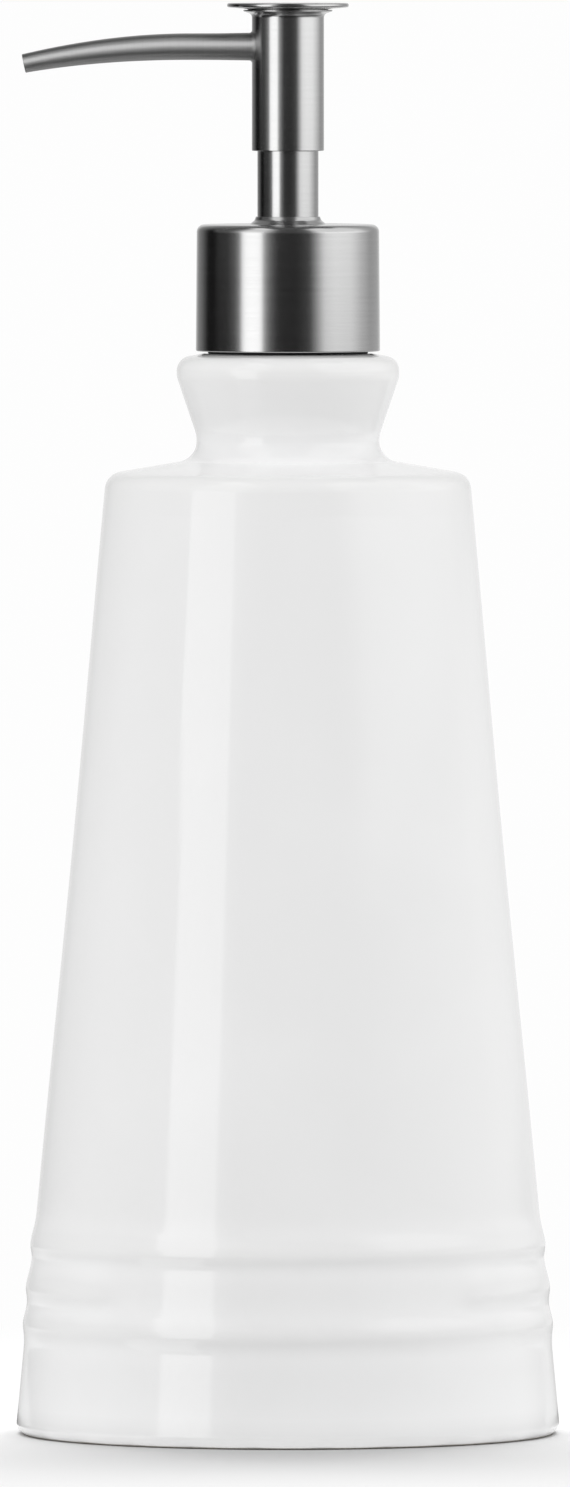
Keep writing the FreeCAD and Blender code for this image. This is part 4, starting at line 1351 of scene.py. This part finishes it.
@dataclass
class ReflectionTent:
    """Tent of cards round the set, which shows in reflections only: wall, ceiling and floor cards."""

    radius: float = 0.45
    height: float = 0.9
    turn_width: float = 0.5
    stops: tuple[Stop, ...] = (
        Stop(-180.0, 0.95, 0.5), Stop(-166.0, 0.7, 0.4), Stop(-152.0, 0.3, 0.3), Stop(-138.0, 0.2, 0.25),
        Stop(-120.0, 0.01, 0.15), Stop(-100.0, 0.008, 0.12, 0.2), Stop(-80.0, 0.012, 0.14, 0.2),
        Stop(-68.0, 0.05, 0.38, 0.2), Stop(-61.0, 0.25, 0.8, 0.2), Stop(-60.0, 1.85, 1.85),
        Stop(-33.0, 1.85, 1.85), Stop(-31.0, 0.4, 0.9, 0.2), Stop(-24.0, 0.03, 0.55, 0.2),
        Stop(-14.0, 0.005, 0.1, 0.2), Stop(10.0, 0.004, 0.085, 0.2), Stop(28.0, 0.03, 0.16, 0.2),
        Stop(35.5, 0.25, 0.8, 0.2), Stop(47.0, 1.12, 1.75, 0.2), Stop(62.0, 1.33, 1.8, 0.2),
        Stop(84.0, 1.2, 1.7, 0.2), Stop(104.0, 0.66, 1.25, 0.2), Stop(122.0, 0.44, 0.65, 0.2),
        Stop(152.0, 0.5, 0.4), Stop(166.0, 0.75, 0.45), Stop(180.0, 0.95, 0.5),
    )
    tints: tuple[Tint, ...] = (
        Tint(((-170.0, 1.0), (-152.0, 1.25), (-138.0, 1.25), (-120.0, 1.0), (30.0, 1.0), (40.0, 0.4),
              (80.0, 0.4), (105.0, 0.7), (122.0, 1.3), (150.0, 1.3), (170.0, 1.0)), (0.14, 0.158)),
        Tint(((-168.0, 1.0), (-152.0, 0.85), (-135.0, 0.35), (-110.0, 0.5), (-90.0, 1.0), (60.0, 1.0),
              (95.0, 0.4), (135.0, 0.3), (152.0, 1.0), (168.0, 1.0)), (0.03, 0.06)),
    )
    band_lean: Stops = ((0.05, 5.5), (0.145, 3.0), (0.158, 0.0))
    band_stops: Stops = ((-100.0, 0.0), (-62.0, 1.0), (-50.0, 1.0), (-40.0, 0.0))
    wall_limit: float = 1.1
    wall_limit_rise: tuple[float, float] = (0.24, 0.31)
    ceiling_dark: float = 0.1
    ceiling_bands: Stops = ((-0.42, 0.0), (-0.4, 1.3), (-0.235, 1.3), (-0.21, 0.0), (0.2, 0.0), (0.28, 0.8),
                            (0.36, 1.3))
    ceiling_turn: tuple[float, float] = (-0.12, 0.06)
    floor_dark: float = 0.05
    floor_stops: Stops = ((-61.0, 0.0), (-60.0, 1.1), (-33.0, 1.1), (-32.0, 0.0), (25.0, 0.0), (50.0, 0.5),
                          (100.0, 0.5), (130.0, 0.0))
    floor_inner: float = 0.0435
    floor_fade: tuple[float, float] = (0.1, 0.17)
    floor_far: float = 0.3
    floor_back: float = 0.5
    floor_back_stops: Stops = ((110.0, 0.0), (135.0, 1.0), (168.0, 1.0), (176.0, 0.0))
    floor_back_rise: tuple[float, float] = (0.05, 0.09)
    card_base: float = 0.0008
    columns: int = 360
    wall_rows: int = 91
    card_rows: int = 61

    def build(self) -> None:
        """Make wall, ceiling and floor cards."""
        for card in (self.wall, self.ceiling, self.floor):
            card(round_angles(self.columns))

    def levels(self, degrees: np.ndarray) -> list[np.ndarray]:
        """Low glow, high glow and height of the turn at some angles, straight between the stops."""
        table = np.array([(stop.angle, stop.low, stop.high, stop.turn) for stop in self.stops])
        return [np.interp(degrees, table[:, 0], table[:, part]) for part in (1, 2, 3)]

    def wall(self, angles: np.ndarray) -> None:
        """Stand the wall, point (R sin a, -R cos a, h), with a smooth step from low to high glow.

        Args:
            angles: Angle of each column.
        """
        a, h = np.meshgrid(angles, np.linspace(self.card_base, self.height, self.wall_rows))
        degrees = np.degrees(a)
        lean = between(self.band_lean, h) * between(self.band_stops, degrees)
        low, high, turn = self.levels(degrees - lean)
        share = np.clip((h / turn - 1.0) / self.turn_width + 0.5, 0.0, 1.0)
        glow = low + (high - low) * share**2 * (3.0 - 2.0 * share)
        for tint in self.tints:
            glow *= 1.0 + np.interp(h, tint.rise, (1.0, 0.0)) * (between(tint.stops, degrees) - 1.0)
        glow = np.minimum(glow, np.interp(h, self.wall_limit_rise, (glow.max(), self.wall_limit)))
        self.card("tent_wall", round_points(self.radius, a, h), glow)

    def ceiling(self, angles: np.ndarray) -> None:
        """Hang the ceiling, point (s sin a, -s cos a, height).

        It is dark but for two bands that run from the front to the middle.

        Args:
            angles: Angle of each column.
        """
        a, s = np.meshgrid(angles, np.linspace(0.0, self.radius, self.card_rows))
        points = round_points(s, a, self.height)
        front = np.interp(points[..., 1], self.ceiling_turn, (1.0, 0.0))
        glow = self.ceiling_dark + front * between(self.ceiling_bands, points[..., 0])
        self.card("tent_ceiling", points, glow)

    def floor(self, angles: np.ndarray) -> None:
        """Lay the floor card, point (s sin a, -s cos a, base).

        It is light near the bottle where the wall is lit, a little light behind the bottle, and else dark.

        Args:
            angles: Angle of each column.
        """
        a, s = np.meshgrid(angles, np.linspace(self.floor_inner, self.radius, self.card_rows))
        degrees = np.degrees(a)
        near = np.interp(s, self.floor_fade, (1.0, self.floor_far))
        glow = self.floor_dark + near * between(self.floor_stops, degrees)
        behind = between(self.floor_back_stops, np.abs(degrees))
        glow += self.floor_back * behind * np.interp(s, self.floor_back_rise, (0.0, 1.0))
        self.card("tent_floor", round_points(s, a, self.card_base), glow)

    def card(self, name: str, points: np.ndarray, glow: np.ndarray) -> None:
        """Make a card that shows in reflections only, and neither lights nor shades the object.

        Args:
            name: Its name.
            points: Grid of points in metres, (rows, columns, 3).
            glow: How bright it shows at each point.
        """
        piece = grid_piece(name, points / MM, points[..., :2], {GLOW: glow})
        graph = Graph(name)
        graph.set(Base_Color=grey(0.0), Specular_IOR_Level=0.0, Emission_Color=grey(1.0))
        graph.feed(graph.shader.inputs["Emission Strength"], graph.mark(GLOW))
        graph.material.cycles.emission_sampling = "NONE"
        piece.data.materials.append(graph.material)
        piece.visible_camera = False
        piece.visible_diffuse = False
        piece.visible_transmission = False
        piece.visible_shadow = False


class Lit(Enum):
    """What a lamp lights."""

    FLOOR = "floor_alone"
    OBJECT = "all_but_floor"
    SPOUT = "spout_alone"


class Link(Enum):
    """Whether a group names what a lamp lights or what it leaves out."""

    ALONE = "INCLUDE"
    ALL_BUT = "EXCLUDE"


@dataclass(frozen=True)
class Lamp:
    """A soft lamp, which the camera doesn't see.

    Attributes:
        name: Its name.
        spot: Where it hangs, in metres.
        size: Its width and height, in metres.
        level: Its radiance, where 1 is white.
        lit: What it lights.
        faces: Where it points.
        turn: How far it is then turned round the bottle, in degrees.
        gloss: Whether it shows in reflections.
    """

    name: str
    spot: Place
    size: tuple[float, float]
    level: float
    lit: Lit = Lit.OBJECT
    faces: Place = AIM
    turn: float = 0.0
    gloss: bool = False

    def hang(self, groups: dict[Lit, bpy.types.Collection]) -> None:
        """Make the lamp and tie it to what it lights.

        Args:
            groups: Receivers for each kind of light.
        """
        data = bpy.data.lights.new(self.name, "AREA")
        data.shape = "RECTANGLE"
        data.size, data.size_y = self.size
        data.energy = self.level * math.pi * data.size * data.size_y
        lamp = bpy.data.objects.new(self.name, data)
        spin = Quaternion((0.0, 0.0, 1.0), math.radians(self.turn))
        lamp.location = spin @ Vector(self.spot)
        lamp.rotation_mode = "QUATERNION"
        lamp.rotation_quaternion = spin @ (Vector(self.faces) - Vector(self.spot)).to_track_quat("-Z", "Y")
        lamp.visible_camera = False
        lamp.visible_glossy = self.gloss
        lamp.light_linking.receiver_collection = groups[self.lit]
        bpy.context.scene.collection.objects.link(lamp)


@dataclass
class Studio:
    """White floor and surround, soft lamps, and the camera."""

    fill: float = 0.62
    white: float = 0.985
    floor_tone: float = 0.8
    floor_half: float = 3.0
    floor_rows: int = 13
    floor_fade: tuple[float, float] = (0.09, 0.28)
    eye_distance: float = 4.0
    eye_height: float = 0.252
    picture_height: float = 0.2286
    sensor: float = 36.0
    lamps: tuple[Lamp, ...] = (
        Lamp("lamp_behind", (0.0, 1.6, 3.0), (2.4, 1.8), 7.0, Lit.FLOOR),
        Lamp("lamp_above", (0.0, -0.4, 1.6), (1.4, 1.0), 1.7),
        Lamp("lamp_left", (-1.35, -0.85, 0.45), (0.9, 0.7), 2.97),
        Lamp("lamp_right", (1.5, -0.5, 0.45), (0.9, 0.7), 2.55),
        Lamp("rim_left", (-1.3, 0.9, 0.4), (0.9, 0.7), 1.35),
        Lamp("rim_right", (1.3, 0.9, 0.4), (0.9, 0.7), 2.0),
        Lamp("lamp_spout", (-0.02, -0.35, 0.36), (0.5, 0.34), 1.25, Lit.SPOUT, gloss=True),
    )
    strips: Stops = ((-56.0, 0.2), (-42.0, 0.3), (-28.0, 0.36), (-14.0, 0.4), (0.0, 0.43), (14.0, 0.42),
                     (28.0, 0.38), (42.0, 0.3), (56.0, 0.2))
    strip_spot: Place = (0.0, -0.044, 0.00025)
    strip_faces: Place = (0.0, -0.044, 1.0)
    strip_size: tuple[float, float] = (0.0108, 0.0062)

    def build(self, spout: Sequence[bpy.types.Object]) -> None:
        """Set up view, surround, floor, lamps and camera.

        Args:
            spout: Pieces of the spout, which have a lamp of their own.
        """
        bpy.context.scene.view_settings.view_transform = "Standard"
        self.surround()
        floor = self.floor()
        groups = {
            Lit.FLOOR: self.group(Lit.FLOOR, [floor], Link.ALONE),
            Lit.OBJECT: self.group(Lit.OBJECT, [floor], Link.ALL_BUT),
            Lit.SPOUT: self.group(Lit.SPOUT, spout, Link.ALONE),
        }
        for lamp in (*self.lamps, *self.foot_lamps()):
            lamp.hang(groups)
        self.camera()

    def foot_lamps(self) -> list[Lamp]:
        """Lay short strips of light on the floor round the front of the foot, which face upwards.

        Returns:
            The strips from left to right.
        """
        return [Lamp(f"lamp_foot_{number}", self.strip_spot, self.strip_size, level,
                     faces=self.strip_faces, turn=turn) for number, (turn, level) in enumerate(self.strips)]

    def group(self, lit: Lit, pieces: Sequence[bpy.types.Object], link: Link) -> bpy.types.Collection:
        """Name what a lamp lights: some pieces alone, or all but these.

        Args:
            lit: What the group stands for.
            pieces: The pieces.
            link: Whether these alone are lit, or all but these.

        Returns:
            The group, which a lamp takes as its receivers.
        """
        group = bpy.data.collections.new(lit.value)
        for piece in pieces:
            group.objects.link(piece)
        for member in group.collection_objects:
            member.light_linking.link_state = link.value
        return group

    def seen_share(self, tree: bpy.types.NodeTree) -> bpy.types.NodeSocket:
        """Tell rays that show a thing from rays that carry its light.

        Args:
            tree: Node tree that asks.

        Returns:
            1 for rays from the camera and from gloss or glass, else 0.
        """
        path = tree.nodes.new("ShaderNodeLightPath")
        total = path.outputs["Is Camera Ray"]
        for name in ("Is Glossy Ray", "Is Transmission Ray"):
            node = tree.nodes.new("ShaderNodeMath")
            node.operation = "MAXIMUM"
            tree.links.new(total, node.inputs[0])
            tree.links.new(path.outputs[name], node.inputs[1])
            total = node.outputs[0]
        return total

    def surround(self) -> None:
        """White surround: white where it is seen, the plain fill level where it lights."""
        world = bpy.data.worlds.new("white_surround")
        bpy.context.scene.world = world
        world.use_nodes = True
        tree = world.node_tree
        tree.nodes.clear()
        lights, shown = (tree.nodes.new("ShaderNodeBackground") for _ in range(2))
        lights.inputs["Color"].default_value = grey(1.0)
        lights.inputs["Strength"].default_value = self.fill
        shown.inputs["Color"].default_value = grey(self.white)
        mix = tree.nodes.new("ShaderNodeMixShader")
        output = tree.nodes.new("ShaderNodeOutputWorld")
        tree.links.new(self.seen_share(tree), mix.inputs[0])
        tree.links.new(lights.outputs[0], mix.inputs[1])
        tree.links.new(shown.outputs[0], mix.inputs[2])
        tree.links.new(mix.outputs[0], output.inputs["Surface"])

    def floor(self) -> bpy.types.Object:
        """Lay the white floor, which keeps the shadow.

        It is a flat grid of points (x, y, 0). Far off it goes over into the white of the surround where it is
        seen.

        Returns:
            The floor.
        """
        edge = np.linspace(-self.floor_half, self.floor_half, self.floor_rows)
        x, y = np.meshgrid(edge, edge)
        points = np.stack([x, y, np.zeros_like(x)], axis=-1)
        floor = grid_piece("floor", points / MM, points[..., :2])
        graph = Graph("floor_white")
        graph.set(Roughness=0.9, Specular_IOR_Level=0.0, Base_Color=grey(self.floor_tone))
        away = graph.add("ShaderNodeVectorMath", operation="LENGTH")
        graph.feed(away.inputs[0], graph.place())
        far = graph.span(away.outputs["Value"], *self.floor_fade, 0.0, 1.0)
        white = graph.add("ShaderNodeEmission")
        white.inputs["Color"].default_value = grey(self.white)
        mix = graph.add("ShaderNodeMixShader")
        seen = graph.maths("MULTIPLY", self.seen_share(graph.tree), far)
        for socket, source in zip(mix.inputs, (seen, graph.shader.outputs[0], white.outputs[0])):
            graph.feed(socket, source)
        output = next(node for node in graph.tree.nodes if node.type == "OUTPUT_MATERIAL")
        graph.feed(output.inputs["Surface"], mix.outputs[0])
        floor.data.materials.append(graph.material)
        return floor

    def camera(self) -> None:
        """Place the camera straight in front, a little above the pump, with the picture's field of view."""
        data = bpy.data.cameras.new("camera")
        eye = Vector((AIM[0], -self.eye_distance, self.eye_height))
        sight = Vector(AIM) - eye
        data.sensor_width = self.sensor
        data.lens = self.sensor * sight.length / self.picture_height
        data.clip_end = 60.0
        camera = bpy.data.objects.new("camera", data)
        camera.location = eye
        camera.rotation_mode = "QUATERNION"
        camera.rotation_quaternion = sight.to_track_quat("-Z", "Y")
        bpy.context.scene.collection.objects.link(camera)
        bpy.context.scene.camera = camera


def main() -> None:
    """Build the pieces in order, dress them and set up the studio."""
    logging.basicConfig(level=logging.INFO, format="%(message)s")
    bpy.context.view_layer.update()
    turned = BrushedSteel().material("steel_brushed")
    drawn = BrushedSteel(roughness=(0.5, 0.56), anisotropy=0.9).material("steel_satin")
    finishes = {
        Slot.GLAZE: WhiteGlaze().material("glaze_white"),
        Slot.RUBBER: MouldedFinish((0.03, 0.03, 0.032), (0.55, 0.75), 0.25).material("rubber_dark"),
        Slot.GREY_PLASTIC: MouldedFinish((0.32, 0.32, 0.33)).material("plastic_grey"),
        Slot.WHITE_PLASTIC: MouldedFinish((0.78, 0.78, 0.77)).material("plastic_white"),
        Slot.NATURAL_PLASTIC: MouldedFinish((0.72, 0.73, 0.71), clearness=0.35).material("plastic_natural"),
        Slot.BRIGHT_STEEL: BrightSteel().material("steel_bright"),
    }
    GlazedBottle().build(finishes[Slot.GLAZE])
    MouthSeal().build(finishes[Slot.RUBBER])
    SteelCollar().build(turned)
    GuideTube().build(turned)
    spout = PumpHead().build(turned, drawn)[2:]
    PumpSpring().build(finishes[Slot.BRIGHT_STEEL])
    InnerWorks().dress(finishes)
    ReflectionTent().build()
    Studio().build(spout)


if __name__ == "__main__":
    main()
